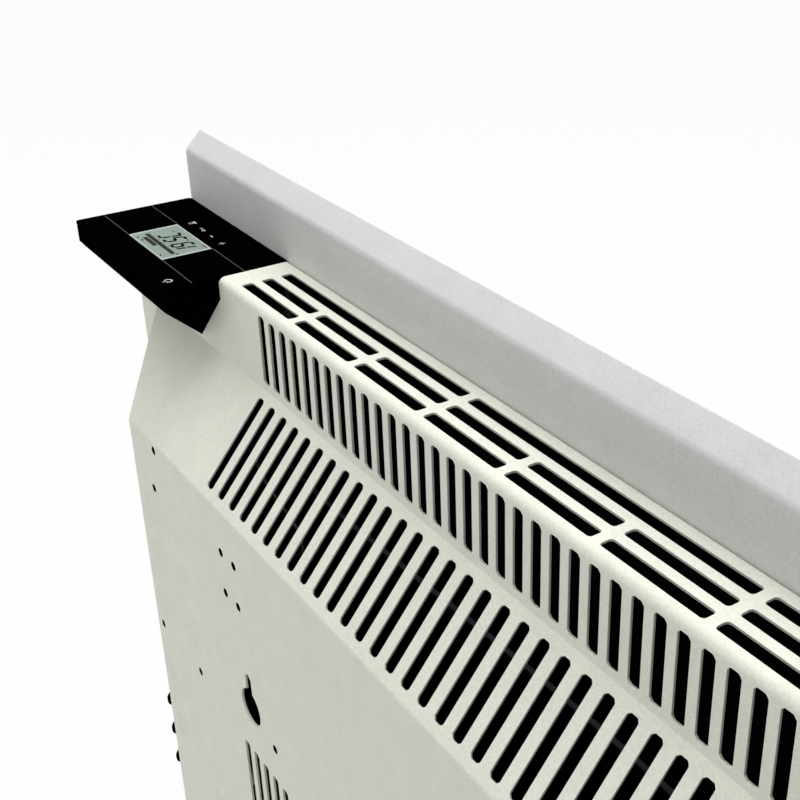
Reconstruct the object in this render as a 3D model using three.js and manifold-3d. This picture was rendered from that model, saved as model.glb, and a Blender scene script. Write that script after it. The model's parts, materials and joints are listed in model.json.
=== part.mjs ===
// Wall panel convector heater with a perforated rear casing and a touch controller cassette.
// Millimetres, +Z up, +X towards the controller end, +Y towards the wall.
// The origin is the middle of the flat rear face, at the height of the hanging keyholes.

import * as THREE from 'three';
import { mergeVertices } from 'three/addons/utils/BufferGeometryUtils.js';
import { ConvexGeometry } from 'three/addons/geometries/ConvexGeometry.js';
import Module from 'manifold-3d';

const wasm = await Module();
wasm.setup();

// ---------------------------------------------------------------- driving dimensions

const SEAT_GAP = 0.3; // clearance between pieces that rest on each other
const OVERCUT = 1; // how far a cutting solid runs past what it cuts

// Front panel: a folded sheet pan with sloping returns.
const PANEL_WIDTH = 542.3;
const PANEL_HEIGHT = 400;
const PANEL_DEPTH = 9.2;
const PANEL_SHEET = 1;
const PANEL_RETURN_RISE = 8.2; // height of the sloping return along the top and bottom edge
const PANEL_EDGE_FLAT = 1; // narrow flat between front face and sloping return
const PANEL_FOLD_RADIUS = 4; // the fold between return and rear flange
const PANEL_ABOVE_CASING = 32; // panel's top edge over the casing's top
const PANEL_BELOW_CASING = 28.3; // casing's bottom over the panel's bottom edge

// Rear casing: a shallow tray against the panel, and a deeper box behind it.
const CASING_SHEET = 0.95;
const CASING_END_INSET = 4.9; // panel's overhang past the casing's end
const CASING_TOP_Z = 158.7;
const TRAY_DEPTH = 32.2;
const REAR_BOX_DEPTH = 31.7;
const TOP_FOLD_RADIUS = 3;
const SMALL_FOLD_RADIUS = 1.5;
const FLANGE_WIDTH = 12; // inward flange round the casing's open front
const BAND_HEIGHT = 35.6; // upright band above the slanted face
const SLANT_DROP = 39.7;
const REAR_BOX_BOTTOM_RISE = 20;
const REAR_BOX_END_INSET = 19.6; // from the casing's end to the foot of the chamfered end
const REAR_BOX_END_RUN = 32; // how far the chamfered end slopes inwards
const REAR_BOX_FLARE = 4; // the rear box is this much wider each side at its bottom
const REAR_BOX_FOLD_RADIUS = 3;

// Grille slots.
const SLOT_WIDTH = 5;
const SLOT_CORNER = 1.1;
const BAND_SLOT_FROM_END = 137.1; // casing's controller end to the middle of the first slot
const BAND_SLOT_LENGTH = 30;
const BAND_SLOT_PITCH = 9;
const BAND_SLOT_FAR_MARGIN = 33; // least length left bare at the casing's other end
const BAND_SLOT_BELOW_TOP = 3.7;
const SLANT_SLOT_LENGTH = 42;
const SLANT_SLOT_PITCH = 10;
const SLANT_SLOT_FROM_END = 136;
const SLANT_SLOT_FAR_MARGIN = 62;
const SLANT_SLOT_START = 4.6; // along the slanted face, from its upper fold
const VENT_SLOT_FROM_END = 151.5;
const VENT_SLOT_FAR_MARGIN = 150;
const VENT_SLOT_LENGTH = 42;
const VENT_SLOT_TOP_Z = -34.7;

// Top grille: cells in three rows, the row by the panel running on under three cells.
const CELL_LENGTH = 41.8;
const CELL_PITCH = 45.83;
const CELLS_PER_LONG_SLOT = 3;
const CELL_END_MARGIN = 12.9;
const CELL_FAR_MARGIN = 6;
const TOP_ROW_OFFSET = 6.84; // band face to the middle of the first row
const TOP_ROW_PITCH = 8.8;
const INTAKE_ROWS = 2;

// Holes in the rear face.
const KEYHOLE_SPACING = 211.3;
const KEYHOLE_ROUND_RADIUS = 8.8;
const KEYHOLE_ROUND_Z = -8.9;
const KEYHOLE_NECK_WIDTH = 5.5;
const KEYHOLE_NECK_TOP_Z = 8.5;
const SMALL_HOLE_RADIUS = 2.1;
// Each as its distance from the casing's end and its height.
const SMALL_HOLES_CONTROLLER_SIDE = [
  [81.7, 79.5], [75.4, 57.3], [59.3, -28.1], [103.4, -28.2], [181.8, -16.5],
];
const SMALL_HOLES_FAR_SIDE = [[81.7, 57.3], [103.4, -28.2], [181.8, -16.5]];
const RIVET_GROUP_X = 112.8;
const RIVET_GROUP_Z = 52.7;
const RIVET_SPACING_X = 12;
const RIVET_SPACING_Z = 20;

// Stiffening beads pressed into the rear face.
const BEAD_PITCH = 26.1;
const BEAD_GROUPS = [[40, 3], [-64.4, 2]]; // height of a group's top bead, and how many there are
const BEAD_LENGTH = 56;
const BEAD_FROM_FOLD = 5; // rear box's rear fold to the bead's outer end
const BEAD_WIDTH = 23;
const BEAD_CORNER = 9;
const BEAD_DEPTH = 1.6;
const BEAD_FLOOR_WIDTH = 9;
const BEAD_FLOOR_CORNER = 3.5;
const BEAD_INNER_SLOPE = 1.5; // length of the steep slope at the inner end
const BEAD_OUTER_SLOPE = 9; // length of the gentle slope at the outer end
const BEAD_CLEAR = 2; // flat sheet between the lowest bead and the element's brackets

// Controller cassette.
const CASSETTE_LENGTH = 102.6;
const CASSETTE_OVERHANG = 24.2; // how far the lip stands out behind the casing's band
const LIP_HEIGHT = 9.7;
const CASSETTE_GAP = 0.5; // between the cassette's end and the casing's grille
const COVER_WALL = 1.8;
const COVER_PLATE = 1.5;
const FASCIA_THICKNESS = 1.5;
const FASCIA_CORNER = 1.6;
const BASE_WALL = 2;
const BASE_RIM_WALL = 1.4;
const LCD_LENGTH = 38;
const LCD_WIDTH = 22.8;
const LCD_FROM_CASSETTE_END = 32.3; // from the cassette's outer end
const LCD_FROM_PANEL = 20.3;
const LCD_CELL_THICKNESS = 2.4;
const LCD_CELL_INSET = 1; // the window overlaps the cell by this much all round
const BOARD_THICKNESS = 1.6;
const TOUCH_BOARD_MARGIN = 5.3; // from the cassette's outline to the board's edge
const TOUCH_BOARD_CORNER = 2;
const POST_RADIUS = 2.6;
const POST_FROM_EDGE = 0.5; // from a board's edge to its posts

// Power board and what stands on it.
const POWER_BOARD_LENGTH = 38;
const POWER_BOARD_WIDTH = 25;
const POWER_BOARD_LIFT = 2;
const BOARD_PART_MARGIN = 1; // from the board's edge to the parts on it
const RELAY_SIZE = [15, 11, 14];
const TRANSFORMER_SIZE = [13, 13, 11];
const CAPACITOR_RADIUS = 4;
const CAPACITOR_HEIGHT = 12;
const CAPACITOR_FROM_EDGE = 6;
const RELAY_TO_TRANSFORMER = 1.5;
const TERMINAL_POLES = 3;
const TERMINAL_PITCH = 5;
const TERMINAL_DEPTH = 9;
const TERMINAL_HEIGHT = 10;
const TERMINAL_ENTRY_WIDTH = 3;
const TERMINAL_ENTRY_DEPTH = 4;
const TERMINAL_SCREW_RADIUS = 1.5;
const TERMINAL_SCREW_DEPTH = 3;

// Rocker switch in the cassette's outer end.
const SWITCH_LENGTH = 19;
const SWITCH_WIDTH = 13;
const SWITCH_DEPTH = 14;
const SWITCH_BEZEL = 1.3;
const SWITCH_BEZEL_OVERLAP = 1.4;
const SWITCH_BEZEL_CORNER = 1.2;
const SWITCH_TO_BOARD = 3;
const SWITCH_WALL = 1.7;
const ROCKER_TILT = 7.5; // degrees each side of its middle
const ROCKER_HALF_LENGTH = 6.6;
const ROCKER_RISE = 7.2; // pivot to the rocker's raised tips
const ROCKER_WAIST = 5.9; // pivot to the hollow between the tips
const ROCKER_SHOULDER = 3.5; // pivot to where the key's ends start to taper
const ROCKER_HEEL = 2; // key's reach behind the pivot
const ROCKER_HEEL_HALF_LENGTH = 3;
const ROCKER_BELOW_BEZEL = 0.3;
const ROCKER_WELL = 4; // pivot to the well's floor
const ROCKER_PIN_RADIUS = 1.1;
const ROCKER_PIN_LENGTH = 0.9; // into the switch's wall
const PIN_CLEARANCE = 0.3;

// Heating element and its supports.
const BRACKET_FROM_FOLD = 22.9; // rear box's rear fold to the bracket's web
const ELEMENT_ABOVE_BOTTOM = 56; // casing's bottom to the element's axis
const ELEMENT_BEHIND_PANEL = 30; // from the casing's open front to the element's axis
const ELEMENT_CORE_RADIUS = 5;
const ELEMENT_ARM_LENGTH = 27;
const ELEMENT_ARM_THICKNESS = 1.8;
const ELEMENT_ARM_ANGLE = 62; // degrees above the horizontal
const ELEMENT_STUB = 14; // bare core past the fins
const ELEMENT_PIN_RADIUS = 1.6;
const ELEMENT_PIN_LENGTH = 9;
const BUSH_WALL = 1.6;
const BUSH_FLANGE = 3;
const BUSH_FLANGE_THICKNESS = 1.8;
const BUSH_LENGTH = 8;
const BRACKET_SHEET = 1.2;
const BRACKET_HEIGHT = 40;
const BRACKET_FOOT = 14;
const BRACKET_EDGE = 6; // sheet left round the bush
const BRACKET_SCREW_FROM_END = 7;

// Other inner pieces.
const SHIELD_SHEET = 0.7;
const SHIELD_STAND_OFF = 2.4; // behind the casing's flange
const SHIELD_BELOW_CASSETTE = 6;
const SHIELD_BESIDE_CASSETTE = 8;
const SHIELD_FOOT_LENGTH = 10;
const SHIELD_FOOT_HEIGHT = 4;
const SHIELD_FOOT_SPACING = 105;
const CUTOUT_RADIUS = 8;
const CUTOUT_HEIGHT = 6;
const CUTOUT_STAND_OFF = 16;
const CUTOUT_BRACKET_LENGTH = 22;
const CUTOUT_BRACKET_HEIGHT = 32;
const CUTOUT_FOOT_HEIGHT = 15;
const CUTOUT_BUTTON_RADIUS = 4.5;
const CUTOUT_BELOW_RIVETS = 5;
const CUTOUT_TAB_LENGTH = 6;
const CUTOUT_TAB_WIDTH = 6;
const CUTOUT_TAB_SHEET = 0.8;
const CUTOUT_TAB_SPACING = 10;
const GLAND_RADIUS = 5.5;
const GLAND_HEAD_RADIUS = 8;
const GLAND_HEAD = 6;
const GLAND_BORE_RADIUS = 3.4;
const GLAND_THREAD_LENGTH = 7; // barrel inside the casing's wall
const GLAND_NUT_THICKNESS = 4;
const GLAND_Z = 10;
const CLIP_COUNT = 3;
const CLIP_TOP_Z = -88.3;
const CLIP_PITCH = 19.8;
const CLIP_HEIGHT = 9.4;
const CLIP_PROUD = 5.4;
const CLIP_WIDTH = 7.5;
const CLIP_TAPER = 0.62; // the clip's height at its outer face, as a share of its foot
const CLIP_FROM_FOLD = 5.9;
const PANEL_CLIP_LENGTH = 14;
const PANEL_CLIP_SHEET = 0.8;
const PANEL_CLIP_REACH = 8;
const PANEL_CLIP_FROM_END = 54; // casing's open front edge to the middle of the end clips
const SCREW_RADIUS = 1.5;
const SCREW_HEAD_RADIUS = 3;
const SCREW_HEAD = 1.8;
const LEAD_RADIUS = 1.1;
const LEAD_SPACING = 2.7;
const LEAD_EXIT_RADIUS = 4;
const LEAD_EXIT_FROM_BOARD = 6.5;
const LEAD_SHEATH = 2; // lead's length above the power board
const HEAT_GUARD_DROP = 13;
const EARTH_BELOW_FOLD = 40;
const EARTH_STUD_RADIUS = 2;
const EARTH_STUD_LENGTH = 11;
const EARTH_HEAD_RADIUS = 3.4;
const EARTH_HEAD = 2.4;
const EARTH_NUT_RADIUS = 4;
const EARTH_NUT_THICKNESS = 3;
const SENSOR_ABOVE_BOTTOM = 31;
const SENSOR_RADIUS = 2;
const SENSOR_BODY_LENGTH = 14.5;
const SENSOR_BODY_ABOVE_HOLDER = 5.5;
const SENSOR_FROM_WALL = 5.5;
const HOLDER_FOOT_SHEET = 1.6;
const HOLDER_FOOT_WIDTH = 14;
const HOLDER_FOOT_HEIGHT = 18;
const HOLDER_ARM_LENGTH = 9;
const HOLDER_ARM_SIZE = 8;

// ---------------------------------------------------------------- levels that follow from them

const BAND_Y = -REAR_BOX_DEPTH;
const CASING_FRONT_Y = BAND_Y - TRAY_DEPTH;
const PANEL_REAR_Y = CASING_FRONT_Y - SEAT_GAP;
const PANEL_FRONT_Y = PANEL_REAR_Y - PANEL_DEPTH;
const PANEL_TOP_Z = CASING_TOP_Z + PANEL_ABOVE_CASING;
const PANEL_BOTTOM_Z = PANEL_TOP_Z - PANEL_HEIGHT;
const CASING_END_X = PANEL_WIDTH / 2 - CASING_END_INSET;
const CASING_BOTTOM_Z = PANEL_BOTTOM_Z + PANEL_BELOW_CASING;
const FOLD_Z = CASING_TOP_Z - BAND_HEIGHT;
const FLANGE_TOP_Z = CASING_TOP_Z - FLANGE_WIDTH;
const FLANGE_BOTTOM_Z = CASING_BOTTOM_Z + FLANGE_WIDTH;
const FLANGE_END_X = CASING_END_X - FLANGE_WIDTH;
const REAR_INNER_Y = -CASING_SHEET;

const CASSETTE_OUT_X = PANEL_WIDTH / 2;
const CASSETTE_IN_X = CASSETTE_OUT_X - CASSETTE_LENGTH;
const GRILLE_END_X = CASSETTE_IN_X - CASSETTE_GAP;
const LIP_REAR_Y = BAND_Y + CASSETTE_OVERHANG;
const LIP_BOTTOM_Z = CASING_TOP_Z - LIP_HEIGHT;
const BASE_TOP_Z = LIP_BOTTOM_Z - SEAT_GAP;
const BASE_BOTTOM_Z = FOLD_Z + 2 * SEAT_GAP;
const COVER_TOP_Z = CASING_TOP_Z - FASCIA_THICKNESS - SEAT_GAP;
const LCD_X = CASSETTE_OUT_X - LCD_FROM_CASSETTE_END - LCD_LENGTH / 2;
const LCD_Y = CASING_FRONT_Y + LCD_FROM_PANEL + LCD_WIDTH / 2;
const LCD_CELL_Z = CASING_TOP_Z - FASCIA_THICKNESS - SEAT_GAP - LCD_CELL_THICKNESS;
const TOUCH_BOARD_Z = LCD_CELL_Z - SEAT_GAP - BOARD_THICKNESS;
const TOUCH_BOARD_LENGTH = CASSETTE_LENGTH - 2 * TOUCH_BOARD_MARGIN;
const TOUCH_BOARD_WIDTH = LIP_REAR_Y - CASING_FRONT_Y - 2 * TOUCH_BOARD_MARGIN;
const RIM_TOP_Z = TOUCH_BOARD_Z - SEAT_GAP;
const ELEMENT_Y = CASING_FRONT_Y + ELEMENT_BEHIND_PANEL;
const ELEMENT_Z = CASING_BOTTOM_Z + ELEMENT_ABOVE_BOTTOM;

// ---------------------------------------------------------------- solids

function solid(geometry) {
  const bare = geometry.clone();
  bare.deleteAttribute('normal');
  bare.deleteAttribute('uv');
  const merged = mergeVertices(bare, 1e-4);
  return new wasm.Manifold(new wasm.Mesh({
    numProp: 3,
    vertProperties: new Float32Array(merged.attributes.position.array),
    triVerts: new Uint32Array(merged.index.array),
  }));
}

function toMesh(name, body, material) {
  const raw = body.getMesh();
  const geometry = new THREE.BufferGeometry();
  geometry.setAttribute('position', new THREE.BufferAttribute(raw.vertProperties, 3));
  geometry.setIndex(new THREE.BufferAttribute(raw.triVerts, 1));
  geometry.computeVertexNormals();
  const mesh = new THREE.Mesh(geometry, material);
  mesh.name = name;
  return mesh;
}

function box(x0, x1, y0, y1, z0, z1) {
  const geometry = new THREE.BoxGeometry(x1 - x0, y1 - y0, z1 - z0);
  geometry.translate((x0 + x1) / 2, (y0 + y1) / 2, (z0 + z1) / 2);
  return solid(geometry);
}

function outline(points) {
  return new THREE.Shape(points.map(([u, v]) => new THREE.Vector2(u, v)));
}

// A shape drawn in (y, z), swept from x0 to x1.
function sweepX(shape, x0, x1, curveSegments = 3) {
  const geometry = new THREE.ExtrudeGeometry(shape, { depth: x1 - x0, bevelEnabled: false, curveSegments });
  geometry.applyMatrix4(new THREE.Matrix4().set(0, 0, 1, x0, 1, 0, 0, 0, 0, 1, 0, 0, 0, 0, 0, 1));
  return solid(geometry);
}

// A shape drawn in (x, z), swept from y0 to y1.
function sweepY(shape, y0, y1, curveSegments = 3) {
  const geometry = new THREE.ExtrudeGeometry(shape, { depth: y1 - y0, bevelEnabled: false, curveSegments });
  geometry.applyMatrix4(new THREE.Matrix4().set(1, 0, 0, 0, 0, 0, -1, y1, 0, 1, 0, 0, 0, 0, 0, 1));
  return solid(geometry);
}

// A shape drawn in (x, y), swept from z0 to z1.
function sweepZ(shape, z0, z1, curveSegments = 3) {
  const geometry = new THREE.ExtrudeGeometry(shape, { depth: z1 - z0, bevelEnabled: false, curveSegments });
  geometry.translate(0, 0, z0);
  return solid(geometry);
}

function cylinder(axis, radius, from, to, a, b, sides = 16) {
  const geometry = new THREE.CylinderGeometry(radius, radius, to - from, sides);
  const middle = (from + to) / 2;
  if (axis === 'x') {
    geometry.rotateZ(-Math.PI / 2);
    geometry.translate(middle, a, b);
  } else if (axis === 'y') {
    geometry.translate(a, middle, b);
  } else {
    geometry.rotateX(Math.PI / 2);
    geometry.translate(a, b, middle);
  }
  return solid(geometry);
}

function union(parts) {
  return wasm.Manifold.union(parts);
}

// Points of a fold of that radius at a corner, between the straight runs towards before and after.
function foldPoints(before, corner, after, radius, steps = 3) {
  const tip = new THREE.Vector2(...corner);
  const back = new THREE.Vector2(...before).sub(tip).normalize();
  const on = new THREE.Vector2(...after).sub(tip).normalize();
  const half = Math.acos(back.dot(on)) / 2;
  const centre = back.clone().add(on).setLength(radius / Math.sin(half)).add(tip);
  const start = back.clone().multiplyScalar(radius / Math.tan(half)).add(tip).sub(centre);
  const turn = (Math.PI - 2 * half) * Math.sign(on.cross(back));
  return Array.from({ length: steps + 1 }, (_, i) => {
    const point = start.clone().rotateAround(new THREE.Vector2(), turn * i / steps).add(centre);
    return [point.x, point.y];
  });
}

// How many copies at that pitch fit between the two places, the first one included.
function fitting(from, to, pitch) {
  return Math.max(Math.floor(Math.abs(to - from) / pitch) + 1, 1);
}

// A rectangle with rounded or, with round = false, clipped corners.
function slotShape(u0, u1, v0, v1, corner, round = false) {
  if (!round) {
    return outline([
      [u0 + corner, v0], [u1 - corner, v0], [u1, v0 + corner], [u1, v1 - corner],
      [u1 - corner, v1], [u0 + corner, v1], [u0, v1 - corner], [u0, v0 + corner],
    ]);
  }
  const shape = new THREE.Shape();
  shape.moveTo(u0 + corner, v0);
  shape.lineTo(u1 - corner, v0);
  shape.absarc(u1 - corner, v0 + corner, corner, -Math.PI / 2, 0);
  shape.lineTo(u1, v1 - corner);
  shape.absarc(u1 - corner, v1 - corner, corner, 0, Math.PI / 2);
  shape.lineTo(u0 + corner, v1);
  shape.absarc(u0 + corner, v1 - corner, corner, Math.PI / 2, Math.PI);
  shape.lineTo(u0, v0 + corner);
  shape.absarc(u0 + corner, v0 + corner, corner, Math.PI, Math.PI * 1.5);
  return shape;
}

// ---------------------------------------------------------------- materials

function finish(color, roughness, metalness = 0) {
  return new THREE.MeshStandardMaterial({ color, roughness, metalness });
}

const creamPowder = finish(0xe6e6dc, 0.6);
const greyPowder = finish(0xcfcfcf, 0.55);
const glossBlack = finish(0x060606, 0.12);
const mattBlack = finish(0x161616, 0.6);
const lcdGrey = finish(0xa0b4a8, 0.3);
const clearWindow = finish(0xb8c8be, 0.05);
const aluminium = finish(0xb9bcbe, 0.4, 0.9);
const zincSteel = finish(0xaeb2b4, 0.35, 0.9);
const darkSteel = finish(0x2c2d2e, 0.6, 0.5);
const boardGreen = finish(0x1f5a34, 0.5);
const ceramic = finish(0xe8e2d4, 0.7);
const greyPlastic = finish(0x8d8f90, 0.55);
const leadBrown = finish(0x5b3420, 0.6);
const leadBlue = finish(0x2a4f8f, 0.6);
const leadGreenYellow = finish(0x6f8f2a, 0.6);

// ---------------------------------------------------------------- front panel

function panelSection(inset) {
  const front = PANEL_FRONT_Y + inset;
  const rear = PANEL_REAR_Y - inset;
  const top = PANEL_TOP_Z - inset;
  const bottom = PANEL_BOTTOM_Z + inset;
  const lip = front + PANEL_EDGE_FLAT;
  const low = bottom + PANEL_RETURN_RISE;
  const high = top - PANEL_RETURN_RISE;
  const radius = PANEL_FOLD_RADIUS - inset;
  return outline([
    [front, bottom + PANEL_EDGE_FLAT],
    [lip, bottom],
    ...foldPoints([lip, bottom], [rear, low], [rear, high], radius),
    ...foldPoints([rear, low], [rear, high], [lip, top], radius),
    [lip, top],
    [front, top - PANEL_EDGE_FLAT],
  ]);
}

function frontPanel() {
  const end = PANEL_WIDTH / 2;
  const outer = sweepX(panelSection(0), -end, end);
  const hollow = sweepX(panelSection(PANEL_SHEET), -end + PANEL_SHEET, end - PANEL_SHEET);
  const rearOpening = box(
    -FLANGE_END_X, FLANGE_END_X,
    PANEL_REAR_Y - 2 * PANEL_SHEET, PANEL_REAR_Y + OVERCUT,
    FLANGE_BOTTOM_Z, FLANGE_TOP_Z,
  );
  return toMesh('front_panel', outer.subtract(hollow).subtract(rearOpening), greyPowder);
}

// ---------------------------------------------------------------- rear casing

function traySection(inset) {
  const front = CASING_FRONT_Y + inset;
  const rear = BAND_Y - inset;
  const top = CASING_TOP_Z - inset;
  const bottom = CASING_BOTTOM_Z + inset;
  const big = TOP_FOLD_RADIUS - inset;
  const small = SMALL_FOLD_RADIUS - inset;
  const shape = new THREE.Shape();
  shape.moveTo(front + small, bottom);
  shape.lineTo(rear, bottom);
  shape.lineTo(rear, top - big);
  shape.absarc(rear - big, top - big, big, 0, Math.PI / 2);
  shape.lineTo(front + small, top);
  shape.absarc(front + small, top - small, small, Math.PI / 2, Math.PI);
  shape.lineTo(front, bottom + small);
  shape.absarc(front + small, bottom + small, small, Math.PI, Math.PI * 1.5);
  return shape;
}

// The chamfered end's X at depth y behind the band (0 at the band) and height z.
function rearBoxEndX(depth, z) {
  const foot = CASING_END_X - REAR_BOX_END_INSET;
  const flare = REAR_BOX_FLARE * (FOLD_Z - z) / (FOLD_Z - CASING_BOTTOM_Z);
  return foot - REAR_BOX_END_RUN * depth / REAR_BOX_DEPTH + flare - REAR_BOX_FLARE / 2;
}

const SLANT_SLOPE = SLANT_DROP / REAR_BOX_DEPTH;
const BOX_BOTTOM_SLOPE = REAR_BOX_BOTTOM_RISE / REAR_BOX_DEPTH;
const BOX_END_SLOPE = REAR_BOX_END_RUN / REAR_BOX_DEPTH;

// The rear box's four corners at a depth behind the band, with all its sides moved in by inset.
// In front of the band the slanted top and the ends run on by inset, so the sheet stays one thickness.
function rearBoxCorners(depth, inset) {
  const run = Math.max(depth, -inset);
  const bottomRun = Math.max(depth, 0);
  const top = FOLD_Z - SLANT_SLOPE * run - inset * Math.hypot(1, SLANT_SLOPE);
  const bottom = CASING_BOTTOM_Z + BOX_BOTTOM_SLOPE * bottomRun + inset * Math.hypot(1, BOX_BOTTOM_SLOPE);
  return [bottom, top].flatMap((z) => {
    const x = rearBoxEndX(run, z) - inset * Math.hypot(1, BOX_END_SLOPE);
    return [-x, x].map((side) => new THREE.Vector3(side, BAND_Y + depth, z));
  });
}

// Points of a rounded corner: on each of its three faces, on the folds between them and in its middle.
function roundedCorner(center, faceNormals, radius) {
  const [a, b, c] = faceNormals.map((normal) => normal.clone().normalize());
  const sums = [[a], [b], [c], [a, b], [b, c], [c, a], [a, b, c]];
  return sums.map((parts) => {
    const direction = parts.reduce((sum, part) => sum.add(part), new THREE.Vector3()).normalize();
    return center.clone().addScaledVector(direction, radius);
  });
}

// The deeper box behind the tray, with all its sides moved in by inset and its rear folds rounded.
function rearBox(inset) {
  const radius = REAR_BOX_FOLD_RADIUS - inset;
  const flareSlope = REAR_BOX_FLARE / (FOLD_Z - CASING_BOTTOM_Z);
  const centers = rearBoxCorners(REAR_BOX_DEPTH - REAR_BOX_FOLD_RADIUS, REAR_BOX_FOLD_RADIUS);
  const rounded = centers.flatMap((center) => roundedCorner(center, [
    new THREE.Vector3(0, 1, 0),
    center.z > 0 ? new THREE.Vector3(0, SLANT_SLOPE, 1) : new THREE.Vector3(0, BOX_BOTTOM_SLOPE, -1),
    new THREE.Vector3(Math.sign(center.x), BOX_END_SLOPE, flareSlope),
  ], radius));
  const foot = rearBoxCorners(-CASING_SHEET - inset, inset);
  return solid(new ConvexGeometry([...foot, ...rounded]));
}

function casingShell() {
  const outer = sweepX(traySection(0), -CASING_END_X, CASING_END_X).add(rearBox(0));
  const innerEnd = CASING_END_X - CASING_SHEET;
  const cavity = sweepX(traySection(CASING_SHEET), -innerEnd, innerEnd);
  const frontOpening = box(
    -FLANGE_END_X, FLANGE_END_X,
    CASING_FRONT_Y - OVERCUT, CASING_FRONT_Y + 2 * CASING_SHEET,
    FLANGE_BOTTOM_Z, FLANGE_TOP_Z,
  );
  return outer.subtract(cavity.add(rearBox(CASING_SHEET))).subtract(frontOpening);
}

function bandSlots() {
  const first = CASING_END_X - BAND_SLOT_FROM_END;
  const count = fitting(first, -CASING_END_X + BAND_SLOT_FAR_MARGIN, BAND_SLOT_PITCH);
  const top = CASING_TOP_Z - BAND_SLOT_BELOW_TOP;
  return Array.from({ length: count }, (_, i) => {
    const x = first - i * BAND_SLOT_PITCH;
    const shape = slotShape(x - SLOT_WIDTH / 2, x + SLOT_WIDTH / 2, top - BAND_SLOT_LENGTH, top, SLOT_CORNER);
    return sweepY(shape, BAND_Y - 2 * CASING_SHEET, BAND_Y + OVERCUT);
  });
}

function slantSlots() {
  const first = CASING_END_X - SLANT_SLOT_FROM_END;
  const count = fitting(first, -CASING_END_X + SLANT_SLOT_FAR_MARGIN, SLANT_SLOT_PITCH);
  const tilt = Math.atan2(REAR_BOX_DEPTH, SLANT_DROP);
  const place = new THREE.Matrix4().makeTranslation(0, BAND_Y, FOLD_Z);
  place.multiply(new THREE.Matrix4().makeRotationX(tilt));
  return Array.from({ length: count }, (_, i) => {
    const x = first - i * SLANT_SLOT_PITCH;
    const shape = slotShape(
      x - SLOT_WIDTH / 2, x + SLOT_WIDTH / 2,
      -SLANT_SLOT_START - SLANT_SLOT_LENGTH, -SLANT_SLOT_START, SLOT_CORNER,
    );
    const cutter = sweepY(shape, -3 * CASING_SHEET, OVERCUT);
    return cutter.transform(place.elements);
  });
}

function ventSlots() {
  const first = CASING_END_X - VENT_SLOT_FROM_END;
  const count = fitting(first, -CASING_END_X + VENT_SLOT_FAR_MARGIN, BAND_SLOT_PITCH);
  const top = VENT_SLOT_TOP_Z;
  return Array.from({ length: count }, (_, i) => {
    const x = first - i * BAND_SLOT_PITCH;
    const shape = slotShape(x - SLOT_WIDTH / 2, x + SLOT_WIDTH / 2, top - VENT_SLOT_LENGTH, top, SLOT_CORNER);
    return sweepY(shape, -2 * CASING_SHEET, OVERCUT);
  });
}

const CELLS_START_X = GRILLE_END_X - CELL_END_MARGIN;
const CELL_COUNT = fitting(CELLS_START_X - CELL_LENGTH, -CASING_END_X + CELL_FAR_MARGIN, CELL_PITCH);

// Slots of one row, each under so many cells; the last may be shorter.
function rowOfCells(row, cellsPerSlot, round) {
  const y = BAND_Y - TOP_ROW_OFFSET - row * TOP_ROW_PITCH;
  const shapes = [];
  for (let cell = 0; cell < CELL_COUNT; cell += cellsPerSlot) {
    const cells = Math.min(cellsPerSlot, CELL_COUNT - cell);
    const length = CELL_LENGTH + (cells - 1) * CELL_PITCH;
    const x1 = CELLS_START_X - cell * CELL_PITCH;
    shapes.push(slotShape(x1 - length, x1, y - SLOT_WIDTH / 2, y + SLOT_WIDTH / 2, SLOT_CORNER, round));
  }
  return shapes;
}

function topSlots() {
  const rows = [1, 1, CELLS_PER_LONG_SLOT].flatMap((cells, row) => rowOfCells(row, cells, true));
  return rows.map((shape) => sweepZ(shape, CASING_TOP_Z - 2 * CASING_SHEET, CASING_TOP_Z + OVERCUT, 1));
}

function intakeSlots() {
  const shapes = Array.from({ length: INTAKE_ROWS }, (_, row) => rowOfCells(row, 1, false)).flat();
  return shapes.map((shape) => sweepZ(shape, CASING_BOTTOM_Z - OVERCUT, CASING_BOTTOM_Z + 2 * CASING_SHEET));
}

function keyholes() {
  return [-1, 1].flatMap((side) => {
    const x = side * KEYHOLE_SPACING / 2;
    const round = cylinder('y', KEYHOLE_ROUND_RADIUS, -2 * CASING_SHEET, OVERCUT, x, KEYHOLE_ROUND_Z, 20);
    const neck = slotShape(
      x - KEYHOLE_NECK_WIDTH / 2, x + KEYHOLE_NECK_WIDTH / 2,
      KEYHOLE_ROUND_Z, KEYHOLE_NECK_TOP_Z, KEYHOLE_NECK_WIDTH / 3,
    );
    return [round, sweepY(neck, -2 * CASING_SHEET, OVERCUT)];
  });
}

function smallHoles() {
  const places = [
    ...SMALL_HOLES_CONTROLLER_SIDE.map(([fromEnd, z]) => [CASING_END_X - fromEnd, z]),
    ...SMALL_HOLES_FAR_SIDE.map(([fromEnd, z]) => [fromEnd - CASING_END_X, z]),
  ];
  for (const dx of [-RIVET_SPACING_X / 2, RIVET_SPACING_X / 2]) {
    for (const dz of [-RIVET_SPACING_Z / 2, RIVET_SPACING_Z / 2]) {
      places.push([RIVET_GROUP_X + dx, RIVET_GROUP_Z + dz]);
    }
  }
  return places.map(([x, z]) => cylinder('y', SMALL_HOLE_RADIUS, -2 * CASING_SHEET, OVERCUT, x, z, 8));
}

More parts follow.
